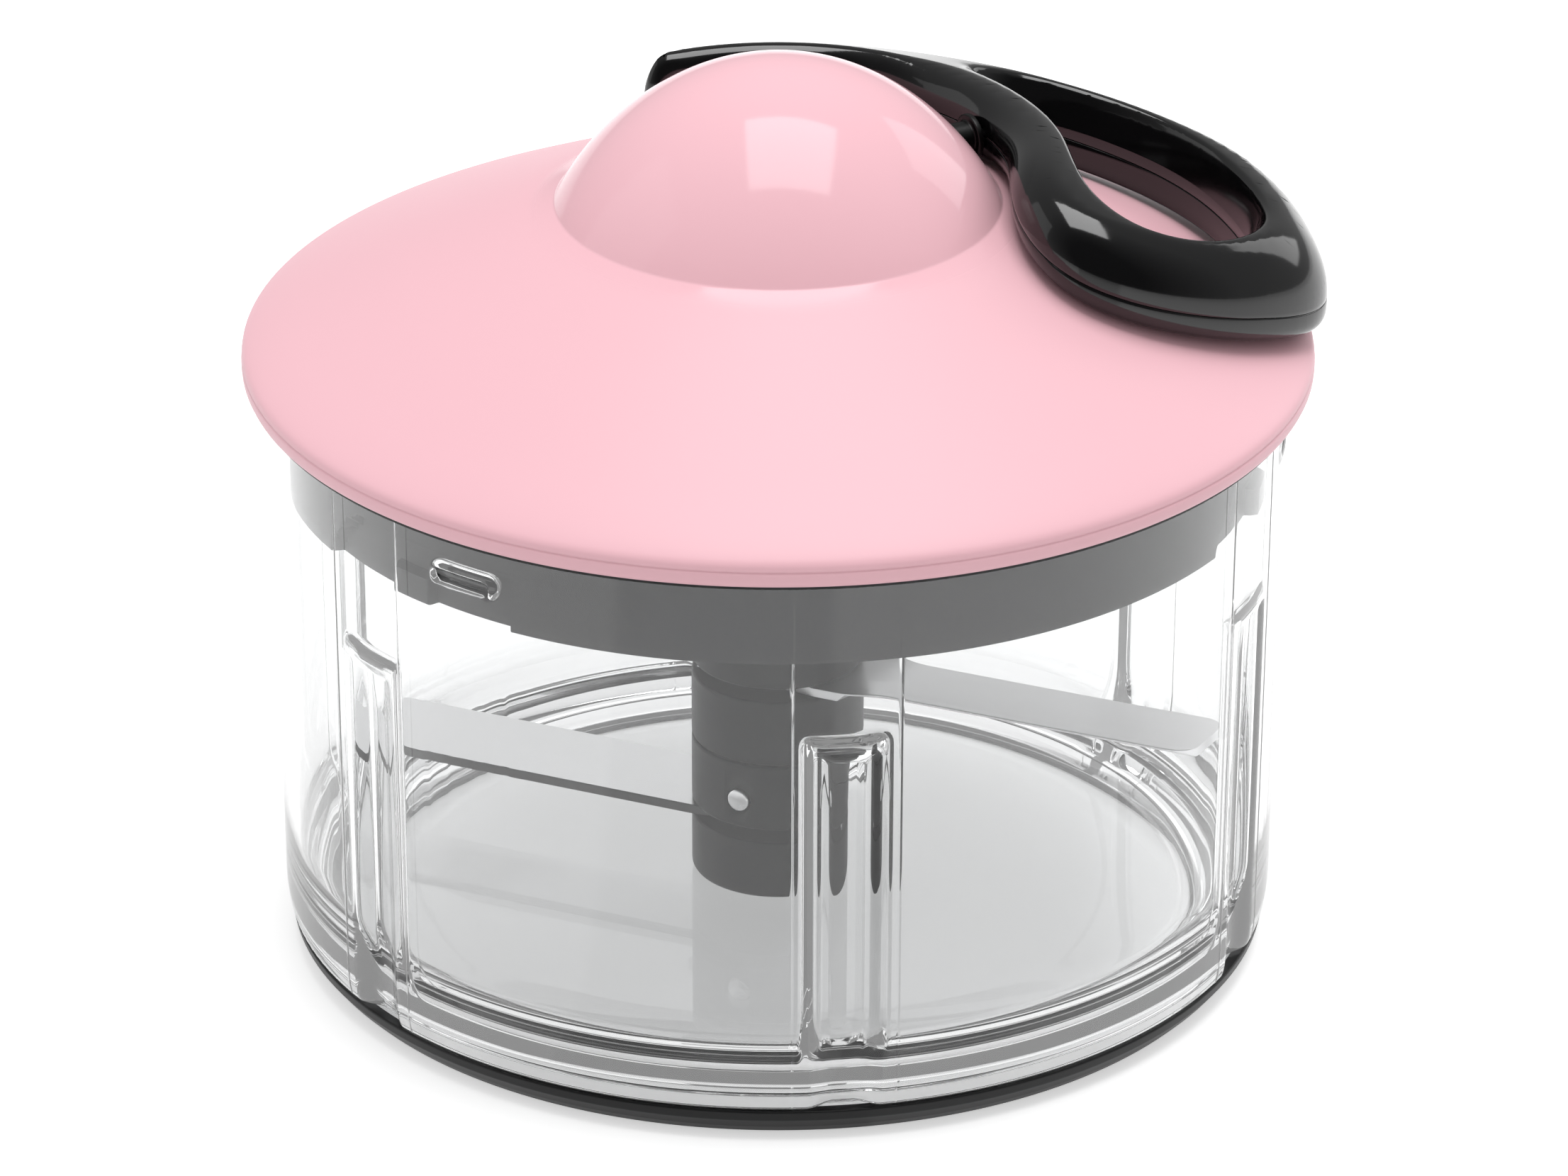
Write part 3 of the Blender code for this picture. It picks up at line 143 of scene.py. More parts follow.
def eased(points, radius, steps=4, closed=True):
    """An outline whose corners are arcs. A point's third number is its own radius."""
    out = []
    count = len(points)
    for i, point in enumerate(points):
        here = Vector(point[:2])
        own = point[2] if len(point) > 2 else radius
        end = not closed and i in (0, count - 1)
        if end or own <= 0:
            out.append(here)
            continue
        before = Vector(points[i - 1][:2]) - here
        after = Vector(points[(i + 1) % count][:2]) - here
        turn = before.angle(after, math.pi)
        if turn > math.radians(174):
            out.append(here)
            continue
        reach = min(own / math.tan(turn / 2), 0.49 * before.length, 0.49 * after.length)
        start = here + before.normalized() * reach
        stop = here + after.normalized() * reach
        for step in range(steps + 1):
            t = step / steps
            out.append(start * (1 - t) ** 2 + here * 2 * t * (1 - t) + stop * t ** 2)
    return out


def spline_through(points, steps=6, closed=False):
    """A smooth line through points."""
    points = [Vector(p) for p in points]
    count = len(points)
    out = []
    for i in range(count if closed else count - 1):
        p1, p2 = points[i], points[(i + 1) % count]
        p0 = points[i - 1] if closed or i else p1 * 2 - p2
        p3 = points[(i + 2) % count] if closed or i + 2 < count else p2 * 2 - p1
        for step in range(steps):
            t = step / steps
            out.append(0.5 * (
                2 * p1 + (p2 - p0) * t + (2 * p0 - 5 * p1 + 4 * p2 - p3) * t * t
                + (3 * p1 - p0 - 3 * p2 + p3) * t ** 3))
    if not closed:
        out.append(points[-1])
    return out


def linked(name, mesh):
    obj = bpy.data.objects.new(name, mesh)
    bpy.context.scene.collection.objects.link(obj)
    return obj


def smooth(mesh, angle=40):
    """Smooth shading, with an edge where faces meet at more than an angle in degrees."""
    mesh.shade_smooth()
    mesh.set_sharp_from_angle(angle=math.radians(angle))


def built(name, bm, angle=None):
    """An object from a bmesh, which is freed."""
    mesh = bpy.data.meshes.new(name)
    bm.to_mesh(mesh)
    bm.free()
    if angle:
        smooth(mesh, angle)
    return linked(name, mesh)


def grid_object(name, points, closed_rows, smooth_angle=40):
    """A skin over a grid of points. Columns always close up, rows where told."""
    rows, columns = points.shape[:2]
    index = np.arange(rows * columns).reshape(rows, columns)
    if closed_rows:
        upper = np.roll(index, -1, axis=0)
        lower = index
    else:
        upper = index[1:]
        lower = index[:-1]
    right_low = np.roll(lower, -1, axis=1)
    right_up = np.roll(upper, -1, axis=1)
    faces = np.stack([lower, right_low, right_up, upper], axis=-1).reshape(-1, 4)
    mesh = bpy.data.meshes.new(name)
    mesh.from_pydata((points.reshape(-1, 3) * MM).tolist(), [], faces.tolist())
    bm = bmesh.new()
    bm.from_mesh(mesh)
    bmesh.ops.remove_doubles(bm, verts=bm.verts, dist=0.000001)
    bmesh.ops.dissolve_degenerate(bm, edges=bm.edges, dist=0.0000005)
    bmesh.ops.recalc_face_normals(bm, faces=bm.faces)
    bm.to_mesh(mesh)
    bm.free()
    smooth(mesh, smooth_angle)
    return linked(name, mesh)


def around(radius, height, angles):
    """A grid of points from radii and heights, one column for each angle."""
    return np.stack([
        radius * np.cos(angles), radius * np.sin(angles), height + 0 * angles], axis=-1)


def turned(name, outline, steps=144, closed=True, weighted=True):
    """A turned piece from an outline of radius and height."""
    radius, height = (np.array(column)[:, None] for column in zip(*outline))
    points = around(radius, height, np.arange(steps) / steps * 2 * math.pi)
    obj = grid_object(name, points, closed)
    return apply_weights(obj) if weighted else obj


def apply_weights(obj):
    """Keeps flats flat beside small rounded edges."""
    step = obj.modifiers.new("Flat faces", "WEIGHTED_NORMAL")
    step.keep_sharp = True
    return obj


def slice_mesh(bm, spot, normal, **sides):
    """Cuts a bmesh's faces along a plane. Gives what bisect_plane gives."""
    return bmesh.ops.bisect_plane(
        bm, geom=[*bm.verts, *bm.edges, *bm.faces], dist=0.0000001,
        plane_co=spot * MM, plane_no=normal, **sides)


def plain_mesh(obj):
    """Replaces an object's modifiers with the mesh that they make."""
    bpy.context.view_layer.update()
    result = bpy.data.meshes.new_from_object(
        obj.evaluated_get(bpy.context.evaluated_depsgraph_get()))
    obj.modifiers.clear()
    old = obj.data
    obj.data = result
    bpy.data.meshes.remove(old)
    return obj


def cut_away(obj, other, angle=None):
    """Cuts another object's shape out of one, and takes that other object away."""
    step = obj.modifiers.new("Cut", "BOOLEAN")
    step.operation = "DIFFERENCE"
    step.object = other
    step.solver = "EXACT"
    plain_mesh(obj)
    bpy.data.objects.remove(other)
    if angle:
        smooth(obj.data, angle)
    return obj


def prism(name, flats, z0, z1, turn=0.0, sides=6, edge=0.25):
    """A bar with a regular outline and eased edges."""
    radius = flats / 2 / math.cos(math.pi / sides)
    bm = bmesh.new()
    bmesh.ops.create_cone(
        bm, cap_ends=True, segments=sides, radius1=radius * MM, radius2=radius * MM,
        depth=(z1 - z0) * MM,
        matrix=Matrix.Rotation(math.radians(turn), 4, "Z")
        @ Matrix.Translation(Vector((0, 0, (z0 + z1) / 2)) * MM))
    obj = built(name, bm)
    if edge:
        step = obj.modifiers.new("Edges", "BEVEL")
        step.width = edge * MM
        step.segments = 3
        plain_mesh(obj)
        smooth(obj.data)
    return obj


def side_bar(name, outline, azimuth, z, steps=48):
    """A turned piece that lies level along an azimuth. Its outline is radius, distance."""
    obj = turned(name, outline, steps, closed=False)
    lie = Matrix.Rotation(math.radians(azimuth), 4, "Z") @ Matrix.Translation(
        Vector((0, 0, z)) * MM) @ Matrix.Rotation(math.radians(90), 4, "Y")
    obj.data.transform(lie)
    return obj


def joined(name, *objs):
    """One object from the meshes of several."""
    bm = bmesh.new()
    for obj in objs:
        plain_mesh(obj)
        bm.from_mesh(obj.data)
    for obj in objs:
        bpy.data.objects.remove(obj)
    return built(name, bm, 40)


def plate_from_outline(name, loops, z0, z1, bevel=0.0, rows=4):
    """A flat plate from closed lines of points, the outer one first."""
    curve = bpy.data.curves.new(name, "CURVE")
    curve.dimensions = "2D"
    curve.fill_mode = "BOTH"
    curve.extrude = ((z1 - z0) / 2 - bevel) * MM
    curve.bevel_depth = bevel * MM
    curve.bevel_resolution = rows
    curve.offset = -bevel * MM
    for loop in loops:
        spline = curve.splines.new("POLY")
        spline.points.add(len(loop) - 1)
        for knot, point in zip(spline.points, loop):
            knot.co = (point[0] * MM, point[1] * MM, 0, 1)
        spline.use_cyclic_u = True
    source = linked(f"{name}_outline", curve)
    bpy.context.view_layer.update()
    mesh = bpy.data.meshes.new_from_object(
        source.evaluated_get(bpy.context.evaluated_depsgraph_get()))
    bpy.data.objects.remove(source)
    bm = bmesh.new()
    bm.from_mesh(mesh)
    bmesh.ops.remove_doubles(bm, verts=bm.verts, dist=0.000001)
    bmesh.ops.translate(bm, verts=bm.verts, vec=(0, 0, (z0 + z1) / 2 * MM))
    bmesh.ops.recalc_face_normals(bm, faces=bm.faces)
    bm.to_mesh(mesh)
    bm.free()
    return linked(name, mesh)


# Finishes

def group_sockets(tree, inputs, outputs):
    for name, kind, default in inputs:
        socket = tree.interface.new_socket(name, in_out="INPUT", socket_type=kind)
        socket.default_value = default
    for name, kind in outputs:
        tree.interface.new_socket(name, in_out="OUTPUT", socket_type=kind)


def feed(tree, socket, value):
    """Links a socket to another node's, or gives it a plain value."""
    if isinstance(value, bpy.types.NodeSocket):
        tree.links.new(value, socket)
    else:
        socket.default_value = value


def node(tree, kind, inputs=None, **settings):
    """A node with its settings, and its inputs by name or number."""
    made = tree.nodes.new(kind)
    for name, value in settings.items():
        setattr(made, name, value)
    for name, value in (inputs or {}).items():
        feed(tree, made.inputs[name], value)
    return made


def maths(tree, operation, *values, clamp=False):
    """One sum in a node tree. Gives its output socket."""
    inputs = dict(enumerate(values))
    made = node(tree, "ShaderNodeMath", inputs, operation=operation, use_clamp=clamp)
    return made.outputs[0]


def spread(tree, value, low, high, first, last):
    """Maps a value from one span to another."""
    inputs = {"Value": value, "From Min": low, "From Max": high, "To Min": first,
              "To Max": last}
    return node(tree, "ShaderNodeMapRange", inputs).outputs["Result"]


def object_place(tree):
    return tree.nodes.new("ShaderNodeTexCoord").outputs["Object"]


def noise(tree, place, scale, detail):
    inputs = {"Vector": place, "Scale": scale, "Detail": detail}
    return node(tree, "ShaderNodeTexNoise", inputs).outputs["Fac"]


def turned_place(tree, place, angle):
    """A place turned about the upright axis."""
    inputs = {"Vector": place, "Angle": angle}
    return node(tree, "ShaderNodeVectorRotate", inputs, rotation_type="Z_AXIS").outputs[0]


def skin_group(name, inputs):
    """A group that puts out roughness and a height, with its two end nodes."""
    tree = bpy.data.node_groups.new(name, "ShaderNodeTree")
    group_sockets(
        tree, [(title, "NodeSocketFloat", default) for title, default in inputs],
        [("Roughness", "NodeSocketFloat"), ("Height", "NodeSocketFloat")])
    return tree, tree.nodes.new("NodeGroupInput").outputs, tree.nodes.new("NodeGroupOutput")


def moulded_skin():
    """Fine texture and uneven gloss of moulded plastic, as roughness and a height."""
    tree, given, end = skin_group("Moulded skin", (
        ("Grain size", 1200.0), ("Roughness", 0.3), ("Variation", 0.05), ("Flow", 0.2)))
    place = object_place(tree)
    grain = noise(tree, place, given["Grain size"], 2.0)
    flow = noise(tree, place, 38.0, 3.0)
    shift = maths(tree, "SUBTRACT", flow, 0.5)
    swing = maths(tree, "MULTIPLY", shift, given["Variation"])
    rough = maths(tree, "ADD", swing, given["Roughness"], clamp=True)
    feed(tree, end.inputs["Roughness"], rough)
    broad = maths(tree, "MULTIPLY_ADD", flow, given["Flow"], grain)
    feed(tree, end.inputs["Height"], broad)
    return tree


def ground_steel():
    """Fine scratches that run along a strip, as roughness and a height."""
    tree, given, end = skin_group("Ground steel", (
        ("Turn", 0.0), ("Roughness", 0.2), ("Variation", 0.1)))
    place = turned_place(tree, object_place(tree), given["Turn"])
    stretch = node(
        tree, "ShaderNodeMapping", {"Vector": place, "Scale": (60.0, 5200.0, 1500.0)})
    scratches = noise(tree, stretch.outputs[0], 1.0, 3.0)
    rough = maths(
        tree, "MULTIPLY_ADD", scratches, given["Variation"], given["Roughness"], clamp=True)
    feed(tree, end.inputs["Roughness"], rough)
    feed(tree, end.inputs["Height"], scratches)
    return tree


def finish(name, base, metallic=0.0, transmission=0.0, ior=1.5):
    """A material with a Principled shader, and that shader."""
    mat = bpy.data.materials.new(name)
    mat.use_nodes = True
    shader = mat.node_tree.nodes["Principled BSDF"]
    values = {"Base Color": (*base, 1.0), "Metallic": metallic, "IOR": ior,
              "Transmission Weight": transmission}
    for title, value in values.items():
        shader.inputs[title].default_value = value
    return mat, shader


def add_skin(mat, shader, group, bump, **values):
    """Puts a group's roughness and height on a material."""
    tree = mat.node_tree
    inputs = {name.replace("_", " ").capitalize(): value for name, value in values.items()}
    skin = node(tree, "ShaderNodeGroup", inputs, node_tree=group)
    feed(tree, shader.inputs["Roughness"], skin.outputs["Roughness"])
    if bump:
        add_bump(tree, shader, skin.outputs["Height"], bump, 0.02)
    return mat


def add_bump(tree, shader, height, strength, depth):
    inputs = {"Strength": strength, "Distance": depth * MM, "Height": height}
    lift = node(tree, "ShaderNodeBump", inputs)
    feed(tree, shader.inputs["Normal"], lift.outputs["Normal"])


def let_shadow_through(mat, shader, share):
    """Lets part of the light through to what stands behind clear plastic."""
    tree = mat.node_tree
    path = tree.nodes.new("ShaderNodeLightPath")
    keep = maths(tree, "MULTIPLY_ADD", path.outputs["Is Shadow Ray"], -share, 1.0)
    feed(tree, shader.inputs["Alpha"], keep)


def shade_base(tree, shader, base, share):
    """Scales a base colour by a share that changes over the surface."""
    scale = node(tree, "ShaderNodeVectorMath", {0: base, "Scale": share}, operation="SCALE")
    feed(tree, shader.inputs["Base Color"], scale.outputs[0])


def paint_edge_shade(mat, shader, base):
    """Darkens the narrow face along the lower blade's back with painted shade."""
    tree = mat.node_tree
    place = turned_place(tree, object_place(tree), math.radians(-BLADE_AZIMUTH))
    parts = node(tree, "ShaderNodeSeparateXYZ", {0: place})
    back = -(LOWER_NEAR + BLADE_WIDTH) * MM
    share = spread(tree, parts.outputs["Y"], back + 0.12 * MM, back + 0.2 * MM, 0.12, 1.0)
    shade_base(tree, shader, base, share)


def edge_tint_and_painted_glow(mat, shader, base):
    """Tints clear plastic more along its edges, and keeps light caught in its wall pale with a
    faint painted glow.
    """
    tree = mat.node_tree
    weight = tree.nodes.new("ShaderNodeLayerWeight")
    shade_base(
        tree, shader, base, spread(tree, weight.outputs["Facing"], 0.35, 1.0, 1.0, 0.86))
    # Painted glow: where a ray has been reflected more than twice inside the clear wall, the
    # plastic glows faintly white.
    path = tree.nodes.new("ShaderNodeLightPath")
    painted_glow_mask = maths(tree, "GREATER_THAN", path.outputs["Glossy Depth"], 2.5)
    shader.inputs["Emission Color"].default_value = (1, 1, 1, 1)
    feed(tree, shader.inputs["Emission Strength"], maths(tree, "MULTIPLY", painted_glow_mask, 0.08))
    return mat


def make_finishes(colours):
    """Every finish of the chopper, by name."""
    made = {}
    moulded = moulded_skin()
    mat, shader = finish("Clear plastic", colours.bowl, transmission=1.0, ior=1.57)
    add_skin(mat, shader, moulded, 0.0, roughness=0.0, variation=0.012, grain_size=900)
    let_shadow_through(mat, shader, 0.97)
    # The clear plastic gets a faint painted glow where light is caught in its wall.
    made["clear"] = edge_tint_and_painted_glow(mat, shader, colours.bowl)
    # Key, name, colour, metallic, refraction, bump, roughness, its variation, grain size
    for key, name, base, metallic, ior, bump, rough, uneven, grain in (
            ("lid", "Glossy lid plastic", colours.lid, 0, 1.36, 0.05, 0.1, 0.05, 2400),
            ("handle", "Glossy handle plastic", colours.handle, 0, 1.6, 0.04, 0.1, 0.05, 2400),
            ("satin", "Satin grey plastic", colours.skirt, 0, 1.42, 0.22, 0.42, 0.12, 2600),
            ("shaft", "Shaft plastic", colours.shaft, 0, 1.32, 0.22, 0.38, 0.12, 2600),
            ("rubber", "Base rubber", colours.rubber, 0, 1.42, 0.3, 0.38, 0.15, 1800),
            ("pin", "Pin steel", colours.steel, 1, 1.5, 0.2, 0.3, 0.2, 1500),
            ("dark_steel", "Blackened steel", (0.03, 0.03, 0.03), 1, 1.5, 0.2, 0.4, 0.1, 1500),
            ("reel", "Reel plastic", (0.70, 0.70, 0.68), 0, 1.5, 0.2, 0.4, 0.1, 2000),
            ("brass", "Sintered brass", (0.62, 0.45, 0.22), 1, 1.5, 0.4, 0.38, 0.2, 2600),
            ("cord_plain", "Wound cord", colours.cord, 0, 1.5, 0.6, 0.75, 0.2, 900)):
        mat, shader = finish(name, base, metallic=metallic, ior=ior)
        made[key] = add_skin(
            mat, shader, moulded, bump, roughness=rough, variation=uneven, grain_size=grain)
    dull_slope(made["lid"])
    ground = ground_steel()
    for name, metallic, rough in (("upper", 0.85, 0.26), ("lower", 1.0, 0.16)):
        mat, shader = finish(f"Steel {name} blade", colours.steel, metallic=metallic)
        # The lower blade's back gets a thin dark line of painted shade.
        if name == "lower":
            paint_edge_shade(mat, shader, colours.steel)
        made[f"steel_{name}"] = add_skin(
            mat, shader, ground, 0.12, roughness=rough, variation=0.14,
            turn=math.radians(-BLADE_AZIMUTH))
    made["cord"] = cord_finish(colours.cord)
    return made


def dull_slope(mat):
    """Makes the lid's slope duller than its dome."""
    tree = mat.node_tree
    skin = next(n for n in tree.nodes if n.type == "GROUP")
    flat = node(
        tree, "ShaderNodeVectorMath", {0: object_place(tree), 1: (1.0, 1.0, 0.0)},
        operation="MULTIPLY")
    span = node(tree, "ShaderNodeVectorMath", {0: flat.outputs[0]}, operation="LENGTH")
    rough = spread(tree, span.outputs["Value"], 28.3 * MM, 31 * MM, 0.1, 0.42)
    feed(tree, skin.inputs["Roughness"], rough)


def cord_finish(base):
    """Braided cord: two crossing sets of strands along the piece's own UV map."""
    mat, shader = finish("Braided cord", base)
    shader.inputs["Roughness"].default_value = 0.75
    shader.inputs["Sheen Weight"].default_value = 0.3
    tree = mat.node_tree
    place = node(tree, "ShaderNodeUVMap", uv_map="Braid").outputs[0]
    waves = [
        node(tree, "ShaderNodeTexWave", {"Scale": 1.6, "Vector": turned_place(
            tree, place, turn)}).outputs["Fac"]
        for turn in (0.9, -0.9)]
    add_bump(tree, shader, maths(tree, "MAXIMUM", *waves), 0.8, 0.1)
    return mat


def dress(obj, key):
    obj.data.materials.clear()
    obj.data.materials.append(FINISHES[key])


def place(obj, key, body, slot, *nodes):
    """Dresses a piece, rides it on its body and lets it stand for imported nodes."""
    if key:
        dress(obj, key)
    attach(obj, body)
    if nodes:
        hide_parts(*nodes)


def keep_node(name, key):
    """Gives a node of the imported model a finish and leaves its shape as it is."""
    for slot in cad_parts[name].material_slots:
        slot.link = "OBJECT"
        slot.material = FINISHES[key]


FINISHES = {}

# Shapes shared by several pieces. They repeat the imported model's own sizes.
FLOOR_Z = 6.6
UNDER_Z = 5.0
FOOT_Z = node_mm("non_slip_base")[1][2] + 0.3
RIM_Z = node_mm("bowl")[1][2]
RIM_RADIUS = node_mm("bowl")[1][0]
LOW_RADIUS = 62.0
PLATE_Z = RIM_Z + 0.3
SKIRT_RADIUS = 60.4
SKIRT_Z = node_mm("lid_base")[0][2]
LUG_AZIMUTHS = (-127.0, -7.0, 113.0)
LUG_Z = 69.1
MOULD_LINE_AT, MOULD_LINE_WIDTH, MOULD_LINE_HEIGHT = 6.38, 0.09, 0.07
FIRST_RIB = -82.4
DOME_RADIUS = 27.4
DOME_FOOT_Z = 97.0
DOME_TOP_Z = node_mm("lid_shell")[1][2]
LID_RADIUS = node_mm("lid_shell")[1][0]
LIP_RISE = 2.2
CORD_Z = 99.8
CORD_AZIMUTH = 30.0
BLADE_AZIMUTH = -23.4
BLADE_WIDTH = 13.2
UPPER_NEAR = -7.0
LOWER_NEAR = -6.2
COLLAR_RADIUS = 10.8
CORE_BORE = 4.95
PIN_AZIMUTH = -117.8
PIN_Z = 20.0


def wall_radius(z):
    return LOW_RADIUS + (z - FOOT_Z) / (RIM_Z - FOOT_Z) * (RIM_RADIUS - LOW_RADIUS)


def lid_height(radius):
    slope = (DOME_FOOT_Z - PLATE_Z - LIP_RISE) / (LID_RADIUS - DOME_RADIUS)
    return DOME_FOOT_Z - slope * (radius - DOME_RADIUS)


# Bowl

def box_distance(u, z, half, top, corner):
    """Signed distance in millimetres to an upright box without a lower end."""
    du = np.abs(u) - (half - corner)
    dz = z - (top - corner)
    outside = np.hypot(np.maximum(du, 0), np.maximum(dz, 0))
    return outside + np.minimum(np.maximum(du, dz), 0) - corner


def stadium_distance(u, z, half_length, half_height, middle):
    """Signed distance to a lying bar with round ends."""
    du = np.maximum(np.abs(u) - (half_length - half_height), 0)
    return np.hypot(du, z - middle) - half_height


def wrap(degrees):
    return (degrees + 180.0) % 360.0 - 180.0


def bowl_azimuths(ribs):
    """Azimuths close together at the sides of ribs and lugs, and wide apart elsewhere."""
    near = [0, 1.2, 2.0, 2.5, 2.8, 3.1, 3.4, 3.7, 4.0, 4.3, 4.6, 4.8, 5.0, 5.2, 5.4, 5.6,
            5.75, 5.85, 5.9, 5.95, 6.05, 6.3, 7.0, 8.2]
    lug = [0, 1.2, 2.4, 3.0, 3.4, 3.7, 4.0, 4.2, 4.4, 4.6, 4.8, 5.0, 5.3, 5.8]
    found = []
    for i in range(ribs):
        middle = FIRST_RIB + 360 * i / ribs
        found += [middle + side * step for step in near for side in (-1, 1)]
    for middle in LUG_AZIMUTHS:
        found += [middle + side * step for step in lug for side in (-1, 1)]
    angles = np.unique(np.round(np.array(found) % 360.0, 3))
    filled = []
    for here, after in zip(angles, np.append(angles[1:], angles[0] + 360)):
        parts = max(1, math.ceil((after - here) / 2.0))
        filled += [here + (after - here) * k / parts for k in range(parts)]
    return np.array(filled)


def wall_heights():
    """Heights on the bowl's wall, close together where ribs and lugs end."""
    low = list(np.arange(18.0, 50.0, 4.0))
    rib = list(np.arange(50.5, 56.6, 0.45))
    between = [58.5, 61.5, 64.5, 66.4]
    lug = list(np.arange(67.0, 71.4, 0.3))
    return np.array(low + rib + between + lug + [73.0, 75.0])


class CHOPPER_OT_bowl(bpy.types.Operator):
    """Make the clear bowl with its ribs, lugs and rim"""

    bl_idname = "chopper.bowl"
    bl_label = "Bowl"

    def execute(self, context):
        size = context.scene.chopper_bowl
        wall = size.wall / MM
        heights = wall_heights()
        inner = [(0.0, 6.1, 0, 0), (2.3, 6.1, 0, 0), (2.3, 10.3, 0, 0), (2.5, 10.5, 0, 0),
                 (3.2, 10.5, 0, 0), (3.4, 10.3, 0, 0), (3.4, 7.2, 0, 0), (3.9, 6.65, 0, 0),
                 (5.0, FLOOR_Z, 0, 0), (20.0, FLOOR_Z, 0, 0), (40.0, FLOOR_Z, 0, 0)]
        fillet = 9.5
        low = wall_radius(FLOOR_Z + fillet) - wall
        rows = 14
        for i in range(rows + 1):
            angle = math.pi / 2 * i / rows
            inner.append((
                low - fillet * (1 - math.sin(angle)),
                FLOOR_Z + fillet * (1 - math.cos(angle)), ease(math.sin(angle), 0.2, 0.95), 0))
        inner += [(wall_radius(z) - wall, z, 1, 0) for z in heights if z > FLOOR_Z + fillet + 1]
        rim = [(RIM_RADIUS - wall, RIM_Z - 0.6), (RIM_RADIUS - wall + 0.15, RIM_Z - 0.2),
               (RIM_RADIUS - wall + 0.6, RIM_Z), (RIM_RADIUS - 0.6, RIM_Z),
               (RIM_RADIUS - 0.15, RIM_Z - 0.2), (RIM_RADIUS, RIM_Z - 0.6)]
        outer = [(wall_radius(z), z, 0, 1) for z in heights[::-1]]
        outer += [(wall_radius(z), z, 0, 1) for z in (14.0, 10.0, 8.0)]
        outer += [(61.98, 6.8, 0, 1), (61.9, 6.0, 0, 1), (61.75, 5.2, 0, 1),
                  (61.6, 4.6, 0, 1), (61.35, 4.28, 0, 1), (61.05, FOOT_Z, 0, 1)]
        under = [(59.7, FOOT_Z), (59.55, 4.1), (59.5, 3.9), (59.5, 1.6), (59.4, 1.3),
                 (59.1, 1.2), (56.6, 1.2), (56.2, 1.3), (56.1, 1.6), (56.1, 4.5),
                 (55.9, 4.85), (55.5, UNDER_Z), (40.0, UNDER_Z), (20.0, UNDER_Z),
                 (0.0, UNDER_Z)]
        section = np.array(
            inner + [(*p, 0, 0) for p in rim] + outer + [(*p, 0, 0) for p in under])
        azimuths = bowl_azimuths(size.ribs)
        radius = section[:, 0][:, None] + 0 * azimuths
        height = section[:, 1][:, None] + 0 * azimuths
        inside = section[:, 2][:, None]
        outside = section[:, 3][:, None]
        pitch = 360.0 / size.ribs
        turn = (azimuths - FIRST_RIB + pitch / 2) % pitch - pitch / 2
        arc = np.radians(turn) * LOW_RADIUS
        depth = size.rib_depth / MM
        rib_half, groove_half = size.rib_width / MM / 2, size.groove_width / MM / 2
        rib_top = size.rib_top / MM
        rib = box_distance(arc, height, rib_half, rib_top, 1.6)
        groove = box_distance(arc, height, groove_half, rib_top - rib_half + groove_half, 1.3)
        radius = radius - inside * depth * ease(-rib, -0.1, 2.3)
        radius = radius - outside * depth * ease(-groove, -0.7, 3.0)
        mould_line = np.exp(-((np.abs(arc) - MOULD_LINE_AT) / MOULD_LINE_WIDTH) ** 2)
        radius = radius + outside * MOULD_LINE_HEIGHT * mould_line
        for middle in LUG_AZIMUTHS:
            along = np.radians(wrap(azimuths - middle)) * LOW_RADIUS
            lug = stadium_distance(along, height, 5.1, 1.6, LUG_Z)
            dimple = stadium_distance(along, height, 4.1, 0.8, LUG_Z)
            radius = radius - inside * 1.4 * ease(-lug, -0.1, 0.5)
            radius = radius - outside * 0.9 * ease(-dimple, -0.35, 0.35)
        points = around(radius, height, np.radians(azimuths))
        bowl = grid_object("clear_bowl", points, False, 60)
        place(bowl, "clear", "bowl", "clear_plastic", "bowl")
        keep_node("bowl_pivot_pin", "pin")
        return {"FINISHED"}


class CHOPPER_OT_base(bpy.types.Operator):
    """Make the non slip ring under the bowl"""

    bl_idname = "chopper.base"
    bl_label = "Base ring"

    def execute(self, context):
        top = node_mm("non_slip_base")[1][2]
        outline = eased([
            (59.9, top, 0.2), (61.45, top, 0.3), (61.2, 2.6, 0.6), (60.1, 1.2, 0.8),
            (58.9, 0.0, 0.5), (56.0, 0.0, 0.3), (56.0, 0.9, 0.3), (59.9, 0.9, 0.2)], 0.3)
        place(turned("base_ring", outline, 192), "rubber", "bowl", "black_rubber",
              "non_slip_base")
        return {"FINISHED"}


# Blade unit

def blade_mesh(name, z, azimuth, near, pitch):
    """A steel strip with a ground lower edge. near is the side of its cutting edge."""
    reach, thick, corner, ground = 57.2, 1.2, 3.0, 2.2
    far = near + BLADE_WIDTH
    outline = [(-8.8, near + 2), (8.0, near)]
    for middle, first in ((near + corner, -90), (far - corner, 0)):
        for step in range(9):
            at = polar(corner, first + 90 * step / 8)
            outline.append((reach - corner + at.x, middle + at.y))
    outline += [(8.0, far), (-8.8, far - 2)]
    strip = plate_from_outline(name, [outline], z, z + thick, 0.08, 1)
    bm = bmesh.new()
    bm.from_mesh(strip.data)
    cuts = [(Vector((0, near + offset, 0)), Vector((0, 1, 0)))
            for offset in (ground, ground + 0.3)]
    cuts += [(Vector((offset, 0, 0)), Vector((1, 0, 0))) for offset in range(11, 19)]
    for spot, normal in cuts:
        slice_mesh(bm, spot, normal)
    for vert in bm.verts:
        share = 1 - min(1.0, max(0.0, (vert.co.y / MM - near) / ground))
        if vert.co.z / MM < z + thick / 2 and vert.co.x / MM > 11.5:
            vert.co.z += share * 0.95 * MM
    for vert in bm.verts:
        lean = math.tan(math.radians(pitch)) * float(ease(vert.co.x / MM, 11, 18))
        vert.co.z -= lean * (vert.co.y - (near + BLADE_WIDTH / 2) * MM)
    bm.to_mesh(strip.data)
    bm.free()
    hexagon = prism(f"{name}_eye", 8.6, z - 1, z + thick + 1, edge=0)
    cut_away(strip, hexagon)
    strip.data.transform(Matrix.Rotation(math.radians(azimuth), 4, "Z"))
    smooth(strip.data, 12)
    return strip


